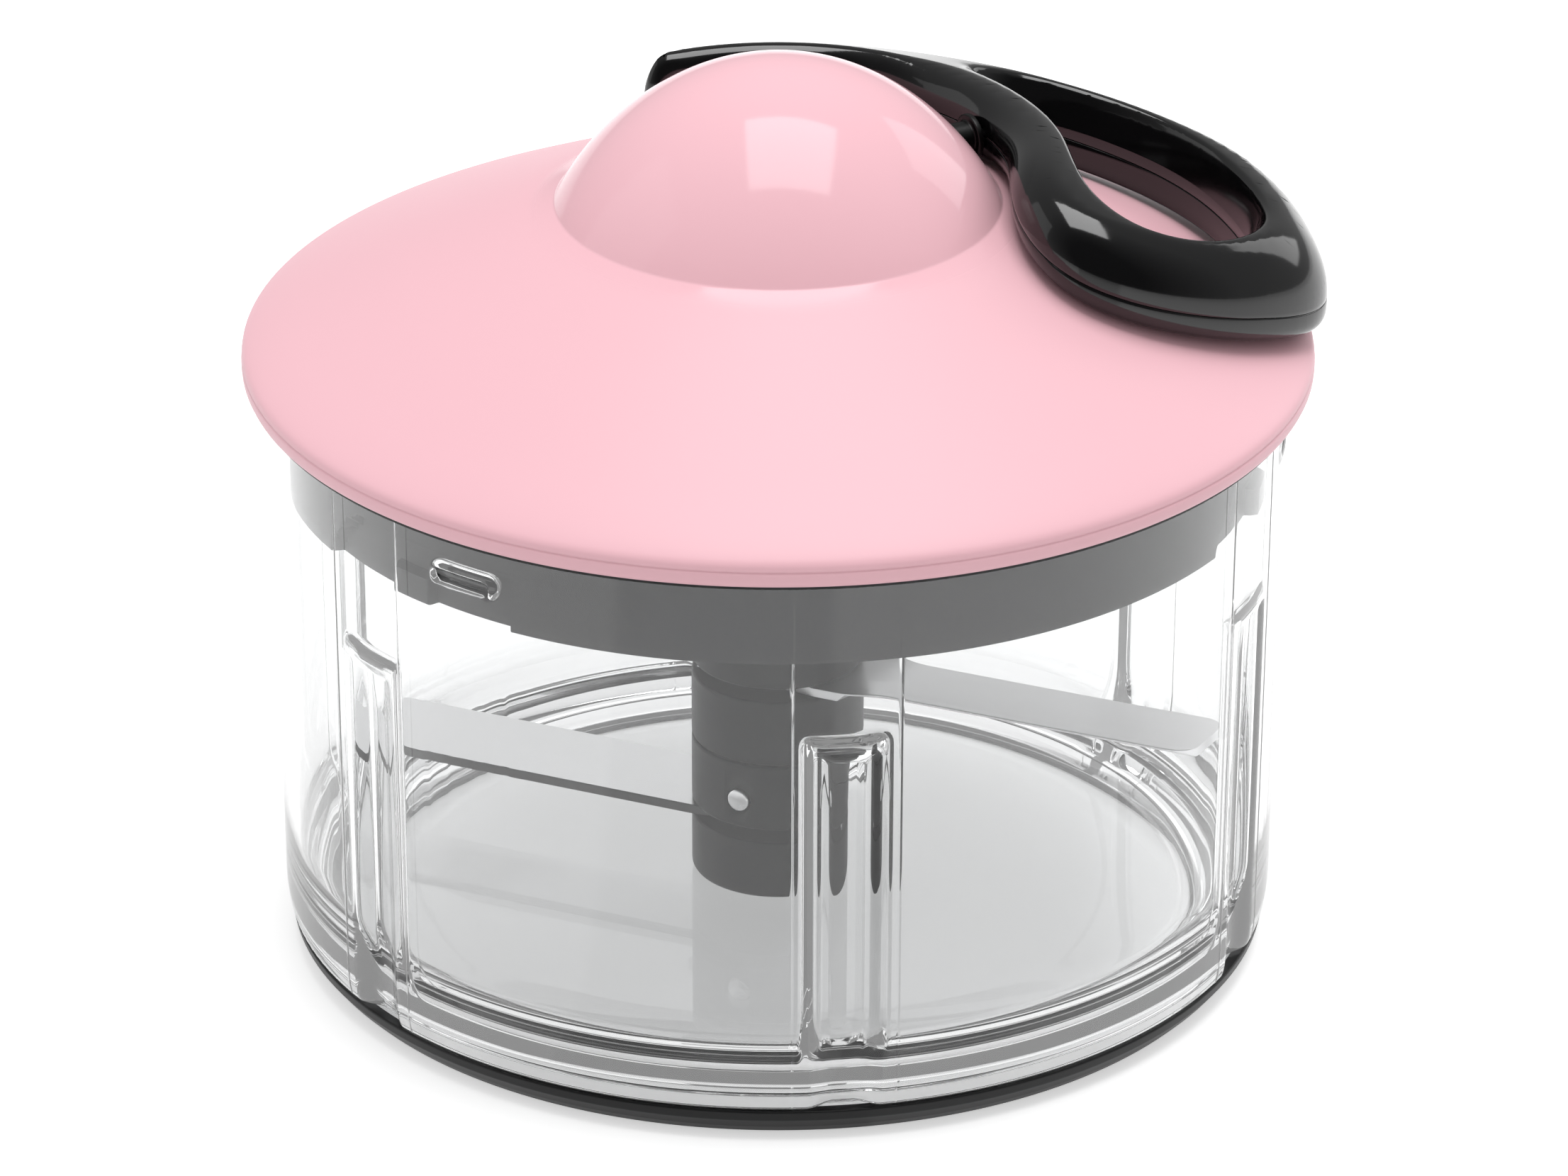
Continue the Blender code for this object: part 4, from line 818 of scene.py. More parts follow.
class CHOPPER_OT_blades(bpy.types.Operator):
    """Make the shaft with its collars, two blades and pins"""

    bl_idname = "chopper.blades"
    bl_label = "Blade unit"

    def execute(self, context):
        for name in ("foot_collar", "lower_collar", "middle_collar"):
            low, high = (corner[2] for corner in node_mm(name))
            outline = [(COLLAR_RADIUS, high), (COLLAR_RADIUS, low), (CORE_BORE, low),
                       (CORE_BORE, high)]
            if name == "foot_collar":
                outline = [(COLLAR_RADIUS, high), (COLLAR_RADIUS, low, 0.7), (4.2, low),
                           (4.2, 11.2), (CORE_BORE, 11.2), (CORE_BORE, high)]
            collar = turned(f"shaft_{name}", eased(outline, 0.35), 96)
            if name == "lower_collar":
                cut_away(collar, side_bar(
                    "pin_hole", [(0, 8.0), (1.8, 8.0), (1.8, 12.0), (0, 12.0)],
                    PIN_AZIMUTH, PIN_Z), 40)
            place(collar, "shaft", "blade_unit", "dark_plastic", name)
        self.make_top()
        self.make_blades()
        keep_node("blade_core", "pin")
        return {"FINISHED"}

    def make_top(self):
        low, high = (corner[2] for corner in node_mm("shaft_top"))
        shoulder = low + 22.5
        core_top = low + 11.5
        body = turned("shaft_body", eased([
            (0.0, shoulder + 2.4), (7.9, shoulder + 2.0, 0.4), (COLLAR_RADIUS, shoulder, 0.8),
            (COLLAR_RADIUS, low, 0.35), (CORE_BORE, low, 0.2), (CORE_BORE, core_top, 0.2),
            (0.0, core_top)], 0.3, closed=False), 96, closed=False)
        head = prism("drive_head", 12.0, shoulder + 1.0, high, edge=0.5)
        place(joined("shaft_top_part", body, head), "shaft", "blade_unit", "dark_plastic",
              "shaft_top")

    def make_blades(self):
        for name, azimuth, near, pitch in (
                ("upper_blade", BLADE_AZIMUTH, UPPER_NEAR, 7.0),
                ("lower_blade", BLADE_AZIMUTH + 180, LOWER_NEAR, 0.0)):
            strip = blade_mesh(
                f"{name}_strip", node_mm(name)[0][2], azimuth, near, pitch)
            place(strip, f"steel_{name.split('_')[0]}", "blade_unit", "steel", name)
        pin = side_bar("collar_pin_end", eased(
            [(0, 2.6), (1.5, 2.6), (1.5, 10.7), (0, 10.9)], 0.35, closed=False),
            PIN_AZIMUTH, PIN_Z)
        place(pin, "pin", "blade_unit", "steel", "collar_pin")


# Lid

def dome_line(inset, rows):
    """The dome's arc from its top to its foot, drawn in by a wall's thickness."""
    curve = 41.92
    middle = DOME_TOP_Z - curve
    sine = (DOME_FOOT_Z - middle) / curve
    width = DOME_RADIUS / math.sqrt(1 - sine * sine)
    return [
        ((width - inset) * math.cos(angle), middle + (curve - inset) * math.sin(angle))
        for angle in np.linspace(math.pi / 2, math.asin(sine), rows)]


class CHOPPER_OT_lid_shell(bpy.types.Operator):
    """Make the glossy domed shell of the lid"""

    bl_idname = "chopper.lid_shell"
    bl_label = "Lid shell"

    def execute(self, context):
        size = context.scene.chopper_lid
        wall = size.wall / MM
        dome = dome_line(0.0, 40)
        dome[0] = (0.0, DOME_TOP_Z)
        slope_line = spline_through([
            (27.4, 97.0, 0), (34.0, 94.1, 0), (40.0, 91.42, 0), (46.0, 88.75, 0),
            (52.0, 86.0, 0), (57.0, 83.66, 0), (60.6, 81.95, 0), (63.4, 80.5, 0),
            (65.1, 79.45, 0), (65.78, 78.75, 0), (65.97, 78.0, 0)], 5)
        cone = [(p.x, p.y) for p in slope_line]
        foot = eased([dome[-2], dome[-1], cone[2]], size.foot_fillet / MM, 6, closed=False)
        outer = dome[:-2] + [tuple(p) for p in foot] + cone[3:]
        outer += [(65.87, 77.93), (65.85, 77.86), (65.95, 77.76), (66.0, 77.6), (66.0, 77.2),
                  (65.94, 76.5), (65.75, 76.08), (65.4, 75.84), (64.9, 75.8)]
        lip = [(64.0, 75.8), (63.75, 75.95), (63.7, 76.3), (63.7, 79.0), (63.2, 79.3)]
        drop = wall * 1.1
        inner = [(60.0, lid_height(60.0) - drop), (50.0, lid_height(50.0) - drop),
                 (38.0, lid_height(38.0) - drop), (26.0, lid_height(27.4) - drop)]
        inside = [p for p in dome_line(wall, 24) if p[0] > 5.0][::-1][1:]
        boss = [(5.0, DOME_TOP_Z - wall - 0.5), (5.0, 103.1), (2.3, 103.1), (2.3, 109.4),
                (0.0, 109.4)]
        shell = turned("lid_dome_shell", outer + lip + inner + inside + boss, 240,
                       closed=False, weighted=False)
        hole = side_bar("eyelet_hole", [
            (0, 20.0), (2.5, 20.0), (2.5, 26.6), (3.2, 26.6), (3.2, 31.0), (0, 31.0)],
            CORD_AZIMUTH, CORD_Z)
        cut_away(shell, hole, 35)
        place(shell, "lid", "lid", "pink_plastic", "lid_shell")
        return {"FINISHED"}


def slot_distance(turn, z):
    """Signed distance to a lug's slot in the skirt, seen from outside."""
    u = np.radians(turn) * SKIRT_RADIUS
    degree = math.radians(1) * SKIRT_RADIUS
    rise = np.clip((z - SKIRT_Z) / 7.4, 0, 1)
    left = (-23.8 + 6.0 * rise ** 1.6) * degree
    entry = np.maximum(left - u, u + 11.4 * degree)
    channel = np.maximum(np.maximum(left - u, u - 5.8 * degree), SKIRT_Z + 3.6 - z)
    relief = np.maximum(-5.6 * degree - u, u - 5.8 * degree)
    shoulder = np.hypot(np.maximum(u + 12.9 * degree, 0), np.maximum(SKIRT_Z + 4.9 - z, 0))
    inside = np.minimum(np.minimum(entry, channel), relief)
    rounded_corner = np.where(
        (u > -12.9 * degree) & (u < -10.0 * degree) & (z < SKIRT_Z + 4.9) & (z > SKIRT_Z + 3.2),
        np.minimum(inside, shoulder - 1.45), inside)
    return np.maximum(rounded_corner, z - (SKIRT_Z + 7.4))


class CHOPPER_OT_lid_base(bpy.types.Operator):
    """Make the lid's grey inner part, with its skirt and slots, and its fixings"""

    bl_idname = "chopper.lid_base"
    bl_label = "Lid base"

    def execute(self, context):
        size = context.scene.chopper_lid
        bottom = [(SKIRT_RADIUS - 2.7, SKIRT_Z, 0), (SKIRT_RADIUS - 0.25, SKIRT_Z, 1),
                  (SKIRT_RADIUS - 0.08, SKIRT_Z + 0.08, 1), (SKIRT_RADIUS, SKIRT_Z + 0.3, 1)]
        rows = [64.4, 65.2, 66.2, 66.6, 66.9, 67.1, 67.3, 67.5, 67.7, 68.0, 69.0, 70.0, 70.5,
                70.8, 71.0, 71.2, 71.4, 71.8, 73.0, 75.0, 76.6]
        outer = [(SKIRT_RADIUS, z, 1) for z in rows]
        flange = [(SKIRT_RADIUS, 77.2, 0), (63.2, 77.2, 0), (63.4, 77.4, 0),
                  (63.4, 78.8, 0), (63.2, 79.0, 0)]
        top = [(27.0, 79.0, 0), (27.0, 84.5, 0), (25.2, 84.5, 0), (25.2, 79.0, 0),
               (13.0, 79.0, 0), (13.0, 77.2, 0)]
        under = [(56.9, 77.2, 0), (57.4, 76.7, 0), (57.4, SKIRT_Z + 0.3, 0),
                 (57.5, SKIRT_Z + 0.06, 0)]
        section = np.array(bottom + outer + flange + top + under)
        offsets = np.unique(np.concatenate([
            np.arange(-24.6, -10.4, 0.3), np.arange(-10.4, -5.9, 0.8), np.arange(-5.9, -5.2, 0.12),
            np.arange(-5.0, 5.2, 0.9), np.arange(5.2, 6.4, 0.15), np.arange(7, 95, 2.0)]))
        azimuths = np.sort(np.concatenate([middle + offsets for middle in LUG_AZIMUTHS]))
        turn = (azimuths - LUG_AZIMUTHS[0] + 26.0) % 120.0 - 26.0
        radius = section[:, 0][:, None] + 0 * azimuths
        height = section[:, 1][:, None] + 0 * azimuths
        slot = ease(-slot_distance(turn[None, :], height), -0.12, 0.18)
        radius = radius - section[:, 2][:, None] * slot * size.slot_depth / MM
        points = around(radius, height, np.radians(azimuths))
        base = grid_object("lid_skirt", points, True, 35)
        place(base, "satin", "lid", "grey_plastic", "lid_base")
        # A thin black ring under the lip is painted shadow: it stands for the shade in the gap
        # between the lip and the bowl's rim.
        edge = turned("lid_painted_shadow_ring", [
            (63.3, 75.78), (65.25, 75.78), (65.25, 75.45), (63.3, 75.45)], 192)
        place(edge, "rubber", "lid", "grey_plastic")
        self.make_screws()
        self.make_hub()
        eyelet = side_bar("cord_eyelet_ring", eased([
            (1.3, 23.1), (2.1, 23.1), (2.1, 26.9), (2.9, 26.9), (2.9, 27.7), (1.3, 27.7),
            (1.3, 23.1)], 0.25, closed=False), CORD_AZIMUTH, CORD_Z)
        place(eyelet, "dark_steel", "lid", "steel", "cord_eyelet")
        for name in ("spring_cup", "cord_spool", "ratchet_wheel"):
            keep_node(name, "reel")
        for name in ("reel_axle", "return_spring", "pawl_1", "pawl_2"):
            keep_node(name, "pin")
        keep_node("hub_bushing", "brass")
        keep_node("cord_winding", "cord_plain")
        return {"FINISHED"}

    def make_screws(self):
        """Three screws under the lid, from one node tree."""
        screws = linked("lid_screws", bpy.data.meshes.new("lid_screws"))
        step = screws.modifiers.new("Screws", "NODES")
        step.node_group = screw_tree()
        names = {item.name: item.identifier
                 for item in step.node_group.interface.items_tree if item.in_out == "INPUT"}
        low, high = node_mm("lid_screw_1")
        values = {"Count": 3, "Circle": 42.0 * MM, "Start": math.radians(90),
                  "Head": 3.0 * MM, "Shank": 1.4 * MM, "Lowest": low[2] * MM,
                  "Highest": high[2] * MM, "Finish": FINISHES["pin"]}
        for name, value in values.items():
            step[names[name]] = value
        plain_mesh(screws)
        place(screws, None, "lid", "steel", "lid_screw_1", "lid_screw_2", "lid_screw_3")

    def make_hub(self):
        hub = turned("drive_hub_part", eased([
            (0.0, 80.4), (13.5, 80.4), (13.5, 79.3), (11.3, 79.3), (11.3, 77.0),
            (10.4, 77.0), (10.4, 75.4), (11.1, 75.4), (11.1, 74.5), (10.4, 73.8),
            (10.4, 62.3), (0.0, 62.3)], 0.3, closed=False), 96, closed=False)
        cut_away(hub, prism("socket", 12.6, 60.0, 71.8, edge=0.6), 35)
        place(hub, "satin", "drive_hub", "grey_plastic", "drive_hub")
        keep_node("hub_clip", "pin")


def screw_tree():
    """A node tree that stands screws on a circle, heads down."""
    tree = bpy.data.node_groups.new("Screws on a circle", "GeometryNodeTree")
    group_sockets(
        tree,
        [("Count", "NodeSocketInt", 3), ("Circle", "NodeSocketFloat", 0.04),
         ("Start", "NodeSocketFloat", 0.0), ("Head", "NodeSocketFloat", 0.003),
         ("Shank", "NodeSocketFloat", 0.0014), ("Lowest", "NodeSocketFloat", 0.0),
         ("Highest", "NodeSocketFloat", 0.01)],
        [("Geometry", "NodeSocketGeometry")])
    tree.interface.new_socket("Finish", in_out="INPUT", socket_type="NodeSocketMaterial")
    given = tree.nodes.new("NodeGroupInput").outputs
    end = tree.nodes.new("NodeGroupOutput")

    def scaled(value, factor):
        return maths(tree, "MULTIPLY", value, factor)

    def at_height(mesh, height):
        offset = node(tree, "ShaderNodeCombineXYZ", {"Z": height}).outputs[0]
        return node(tree, "GeometryNodeTransform", {
            "Geometry": mesh.outputs["Mesh"], "Translation": offset}).outputs[0]

    low, head = given["Lowest"], given["Head"]
    span = maths(tree, "SUBTRACT", given["Highest"], low)
    head_height = scaled(head, 0.53)
    dome = node(tree, "GeometryNodeMeshCone", {
        "Vertices": 32, "Radius Top": head, "Radius Bottom": scaled(head, 0.72),
        "Depth": scaled(head_height, 0.45)})
    rim = node(tree, "GeometryNodeMeshCylinder", {
        "Vertices": 32, "Radius": head, "Depth": scaled(head_height, 0.55)})
    rim_middle = maths(tree, "ADD", low, scaled(head_height, 0.725))
    shank = node(tree, "GeometryNodeMeshCylinder", {
        "Vertices": 20, "Radius": given["Shank"],
        "Depth": maths(tree, "SUBTRACT", span, head_height)})
    shank_middle = maths(
        tree, "ADD", low, scaled(maths(tree, "ADD", span, head_height), 0.5))
    parts = node(tree, "GeometryNodeJoinGeometry")
    for part, height in ((dome, low), (rim, rim_middle), (shank, shank_middle)):
        feed(tree, parts.inputs[0], at_height(part, height))
    bars = node(tree, "GeometryNodeJoinGeometry")
    for longer, shorter in (("Y", "X"), ("X", "Y")):
        size = node(tree, "ShaderNodeCombineXYZ", {
            longer: head, shorter: scaled(head, 0.2), "Z": head_height})
        bar = node(tree, "GeometryNodeMeshCube", {"Size": size.outputs[0]})
        feed(tree, bars.inputs[0], at_height(bar, low))
    body = node(
        tree, "GeometryNodeMeshBoolean", {"Mesh 2": parts.outputs[0]}, operation="UNION")
    screw = node(tree, "GeometryNodeMeshBoolean", {
        "Mesh 1": body.outputs["Mesh"], "Mesh 2": bars.outputs[0]}, operation="DIFFERENCE")
    ring = node(tree, "GeometryNodeMeshCircle", {
        "Vertices": given["Count"], "Radius": given["Circle"]})
    angle = node(tree, "ShaderNodeCombineXYZ", {"Z": given["Start"]})
    spin = node(tree, "GeometryNodeTransform", {
        "Geometry": ring.outputs[0], "Rotation": angle.outputs[0]})
    stand = node(tree, "GeometryNodeInstanceOnPoints", {
        "Points": spin.outputs[0], "Instance": screw.outputs["Mesh"]})
    real = node(tree, "GeometryNodeRealizeInstances", {0: stand.outputs[0]})
    dressed = node(tree, "GeometryNodeSetMaterial", {
        "Geometry": real.outputs[0], "Material": given["Finish"]})
    feed(tree, end.inputs["Geometry"], dressed.outputs[0])
    return tree


# Handle and cord

HANDLE_OUTLINE = [
    (34.8, 116), (34.8, 104), (35.0, 92), (36.1, 79.5), (42.0, 62.5), (50.4, 52.1),
    (55.6, 42.5), (60.3, 33.2), (64.8, 23.7), (67.2, 14.2), (67.5, 5.9), (67.6, 0.4),
    (66.2, -4.8), (62.5, -10.6), (57.1, -17.3), (49.9, -24.4), (41.9, -29.4),
    (34.5, -27.3), (29.2, -14.9), (28.4, 4), (28.4, 20), (28.4, 35), (28.4, 50),
    (28.4, 65), (28.4, 80), (28.4, 95), (28.55, 110), (29.0, 118), (31.7, 123)]
HANDLE_OPENING = [
    (40.1, 50.3), (44.9, 46.4), (49.2, 38.4), (52.5, 31.4), (54.8, 25.3), (56.7, 17.9),
    (58.0, 9.7), (58.8, 2.9), (58.0, -2.6), (55.5, -8.6), (51.7, -13.3), (47.1, -16.3),
    (42.5, -15.3), (38.7, -9.7), (36.8, 0), (36.5, 12.7), (36.3, 26.1), (36.5, 39),
    (37.5, 48.2)]
HANDLE_HIGH, HANDLE_LOW = 11.3, 9.2
HANDLE_START, HANDLE_SPAN = 31.8, 28.7
GAP_AT_DOME, GAP_GROWTH = 0.4, 0.9
OPENING_SLOPE, OPENING_SOFTNESS = 3.2, 0.45
UNDER_ROUND = 2.6
OPENING_ROUND = 0.8
SMOOTHING_PASSES = 44
CUT_STEP = 1.5


def by_radius(radius, low, high):
    """Changes evenly from low near the dome to high at the loop's outer end."""
    return low + np.clip((radius - HANDLE_START) / HANDLE_SPAN, 0, 1) * (high - low)


def nearest(places, line):
    """Distances from points to a closed line, and their feet on the line."""
    along = np.roll(line, -1, axis=0) - line
    square = (along ** 2).sum(axis=1)
    gaps, feet = [], []
    for chunk in np.array_split(places, max(1, len(places) // 2000)):
        offset = chunk[:, None, :] - line[None]
        t = np.clip((offset * along).sum(axis=2) / square, 0, 1)[..., None]
        gap = np.linalg.norm(offset - along * t, axis=2)
        best = gap.argmin(axis=1)
        rows = np.arange(len(chunk))
        gaps.append(gap[rows, best])
        feet.append(line[best] + along[best] * t[rows, best])
    return np.concatenate(gaps), np.concatenate(feet)


def drawn_in(line, offset):
    """A closed line of points, moved toward its inner side."""
    along = np.roll(line, -1, axis=0) - np.roll(line, 1, axis=0)
    across = np.stack([-along[:, 1], along[:, 0]], axis=-1)
    across /= np.hypot(*across.T)[:, None]
    middle = line.mean(axis=0)
    side = np.sign(((middle - line) * across).sum())
    return line + across * side * offset


def rounding(share):
    """How far a quarter round has fallen, 1 at its rim and 0 from its inner end on."""
    return 1 - np.sqrt(1 - (1 - np.clip(share, 0, 1)) ** 2)


def draped(places, share):
    """Heights over the lid's slope for shares of the handle's own height."""
    radius = np.hypot(*places.T)
    rest = GAP_AT_DOME + by_radius(radius, 0.0, GAP_GROWTH)
    return lid_height(radius) + rest + share * by_radius(radius, HANDLE_LOW, HANDLE_HIGH)


class CHOPPER_OT_handle(bpy.types.Operator):
    """Make the two glossy shells of the loop handle"""

    bl_idname = "chopper.handle"
    bl_label = "Handle"

    def execute(self, context):
        size = context.scene.chopper_handle
        lines = []
        for points in (HANDLE_OUTLINE, HANDLE_OPENING):
            knots = [polar(r, a) for r, a in points]
            line = np.array([(p.x, p.y) for p in spline_through(knots, 12, closed=True)])
            for _ in range(SMOOTHING_PASSES):
                line = (line * 2 + np.roll(line, 1, axis=0) + np.roll(line, -1, axis=0)) / 4
            lines.append(line)
        lines[1] = drawn_in(lines[1], OPENING_ROUND)
        whole = plate_from_outline("handle", lines, 0.0, HANDLE_HIGH, UNDER_ROUND, 8)
        bm = bmesh.new()
        bm.from_mesh(whole.data)
        for normal in (Vector((1, 0, 0)), Vector((0, 1, 0))):
            for i in range(-45, 46):
                slice_mesh(bm, normal * i * CUT_STEP, normal)
        self.shape(bm, lines, size)
        seam = 0.36 * HANDLE_HIGH
        half_gap = size.seam / MM / 2
        for name, side in (("handle_upper_shell", 1), ("handle_lower_shell", -1)):
            part = bm.copy()
            self.split(part, seam + side * half_gap, side)
            mesh = bpy.data.meshes.new(name)
            points = np.array([vert.co for vert in part.verts]) / MM
            heights = draped(points[:, :2], points[:, 2] / HANDLE_HIGH)
            for vert, height in zip(part.verts, heights):
                vert.co.z = height * MM
            bmesh.ops.recalc_face_normals(part, faces=part.faces)
            part.to_mesh(mesh)
            part.free()
            smooth(mesh, 50)
            shell = linked(name, mesh)
            self.cut_cord_way(shell)
            if side > 0:
                self.smooth_top(shell.data, lines, size)
            packed = "handle_top" if side > 0 else "handle_bottom"
            place(shell, "handle", "handle", "black_gloss_plastic", packed)
        bm.free()
        bpy.data.objects.remove(whole)
        return {"FINISHED"}

    def shape(self, bm, lines, size):
        """Rounds the loop's outer side broadly and slopes the opening's wall."""
        points = np.array([vert.co for vert in bm.verts]) / MM
        top = self.top_height(points[:, :2], lines, size)
        outer, _ = nearest(points[:, :2], lines[0])
        hole, _ = nearest(points[:, :2], lines[1])
        bottom = 2.8 * rounding(outer / UNDER_ROUND)
        bottom += OPENING_ROUND * rounding(hole / OPENING_ROUND)
        heights = np.where(points[:, 2] > HANDLE_HIGH / 2, top, bottom)
        for vert, height in zip(bm.verts, heights):
            vert.co.z = height * MM

    def top_height(self, places, lines, size):
        """Height of the handle's top over places, before it is draped on the lid."""
        outer, feet = nearest(places, lines[0])
        hole, _ = nearest(places, lines[1])
        share = ease(np.degrees(np.arctan2(feet[:, 1], feet[:, 0])), 44, 66)
        broad = (size.edge * (1 - share) + size.arm_edge * share) / MM
        short = size.draft / MM - hole
        slope = (np.hypot(short, OPENING_SOFTNESS) + short) / 2 * OPENING_SLOPE
        drop = size.drop / MM * rounding(outer / broad) + np.minimum(slope, size.drop / MM)
        return HANDLE_HIGH - drop + size.crown / MM * ease(outer / broad, 0, 1)

    def smooth_top(self, mesh, lines, size):
        """Gives the top the normals of its own surface, so that reflections run clean."""
        points = np.array([vert.co for vert in mesh.vertices]) / MM
        places = points[:, :2]

        def height(shift=(0.0, 0.0)):
            moved = places + np.array(shift)
            return draped(moved, self.top_height(moved, lines, size) / HANDLE_HIGH)

        step = 0.06
        across = (height((step, 0)) - height((-step, 0))) / step / 2
        along = (height((0, step)) - height((0, -step))) / step / 2
        normals = np.stack([-across, -along, np.ones(len(points))], axis=-1)
        normals /= np.linalg.norm(normals, axis=1)[:, None]
        edge = np.minimum(*(nearest(places, line)[0] for line in lines))
        own = (edge < 0.15) | (np.abs(height() - points[:, 2]) > 0.08)
        normals[own] = 0.0
        mesh.normals_split_custom_set_from_vertices(normals.tolist())

    def split(self, bm, height, side):
        """Keeps what is on one side of the seam, with a closed and eased edge."""
        lip = 0.12
        for offset in (side * lip, 0.0):
            cut = slice_mesh(
                bm, Vector((0, 0, height + offset)), Vector((0, 0, 1)),
                clear_inner=side > 0 and not offset, clear_outer=side < 0 and not offset)
        rim = [e for e in cut["geom_cut"] if isinstance(e, bmesh.types.BMEdge)]
        bm.normal_update()
        ends = {v for e in rim for v in e.verts}
        shifts = {v: Vector((v.normal.x, v.normal.y, 0)).normalized() * 0.07 * MM for v in ends}
        for vert, shift in shifts.items():
            vert.co -= shift
        bmesh.ops.triangle_fill(bm, use_beauty=True, edges=rim)

    def cut_cord_way(self, shell):
        """The cord's hole and the pocket for its knot."""
        way = side_bar(f"{shell.name}_way", [
            (0, 26.0), (1.25, 26.0), (1.25, 29.4), (2.5, 29.4), (2.5, 34.3), (0, 34.3)],
            CORD_AZIMUTH, CORD_Z, 32)
        cut_away(shell, way, 50)


class CHOPPER_OT_cord(bpy.types.Operator):
    """Make the pull cord and the knot that holds it in the handle"""

    bl_idname = "chopper.cord"
    bl_label = "Cord"

    def execute(self, context):
        turn_radius, bend_radius, bend = 16.7, 21.3, 1.8
        lag = math.degrees(math.acos(turn_radius / bend_radius))
        start = polar(turn_radius, CORD_AZIMUTH - lag, CORD_Z)
        corner = polar(bend_radius, CORD_AZIMUTH, CORD_Z)
        end = polar(29.4, CORD_AZIMUTH, CORD_Z)
        before = corner + (start - corner).normalized() * bend
        after = corner + (end - corner).normalized() * bend
        line = [start.lerp(before, t / 6) for t in range(6)]
        line += [before * (1 - t) ** 2 + corner * 2 * t * (1 - t) + after * t ** 2
                 for t in np.linspace(0, 1, 10)]
        line += [after.lerp(end, t / 24) for t in range(1, 25)]
        cord = tube("pull_cord_run", line, 0.9, 20)
        dress(cord, "cord")
        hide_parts("pull_cord")
        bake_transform(cord)
        knot = knot_mesh(polar(31.8, CORD_AZIMUTH, CORD_Z), polar(1.0, CORD_AZIMUTH))
        place(knot, "cord", "handle", "black_cord", "cord_knot")
        return {"FINISHED"}


def tube(name, line, radius, sides):
    """A round tube along a line, with closed ends and a UV map along it."""
    line = [Vector(p) for p in line]
    rings = []
    side = Vector((0, 0, 1))
    for i, point in enumerate(line):
        ahead = (line[min(i + 1, len(line) - 1)] - line[max(i - 1, 0)]).normalized()
        across = ahead.cross(side).normalized()
        up = across.cross(ahead)
        rings.append([point + (across * math.cos(a) + up * math.sin(a)) * radius
                      for a in np.linspace(0, 2 * math.pi, sides, endpoint=False)])
    bm = bmesh.new()
    uv = bm.loops.layers.uv.new("Braid")
    verts = [[bm.verts.new(p * MM) for p in ring] for ring in rings]
    travel = 0.0
    for i in range(len(rings) - 1):
        step = (line[i + 1] - line[i]).length
        for k in range(sides):
            face = bm.faces.new((
                verts[i][k], verts[i][(k + 1) % sides], verts[i + 1][(k + 1) % sides],
                verts[i + 1][k]))
            corners = ((k, travel), (k + 1, travel), (k + 1, travel + step), (k, travel + step))
            for loop, (column, row) in zip(face.loops, corners):
                loop[uv].uv = (column / sides * 2 * math.pi * radius, row)
        travel += step
    bm.faces.new(verts[0][::-1])
    bm.faces.new(verts[-1])
    bmesh.ops.recalc_face_normals(bm, faces=bm.faces)
    return built(name, bm, 60)


def knot_mesh(middle, along):
    """A small overhand knot, drawn tight."""
    up = Vector((0, 0, 1))
    across = along.cross(up)
    line = []
    for t in np.linspace(0, 2 * math.pi, 60, endpoint=False):
        ring = 0.75 + 0.28 * math.cos(3 * t)
        line.append(middle + across * ring * math.cos(2 * t) + up * ring * math.sin(2 * t)
                    + along * 0.75 * math.sin(3 * t))
    line.append(line[0])
    return tube("cord_knot_tie", line, 0.62, 12)


# Camera, lights and floor

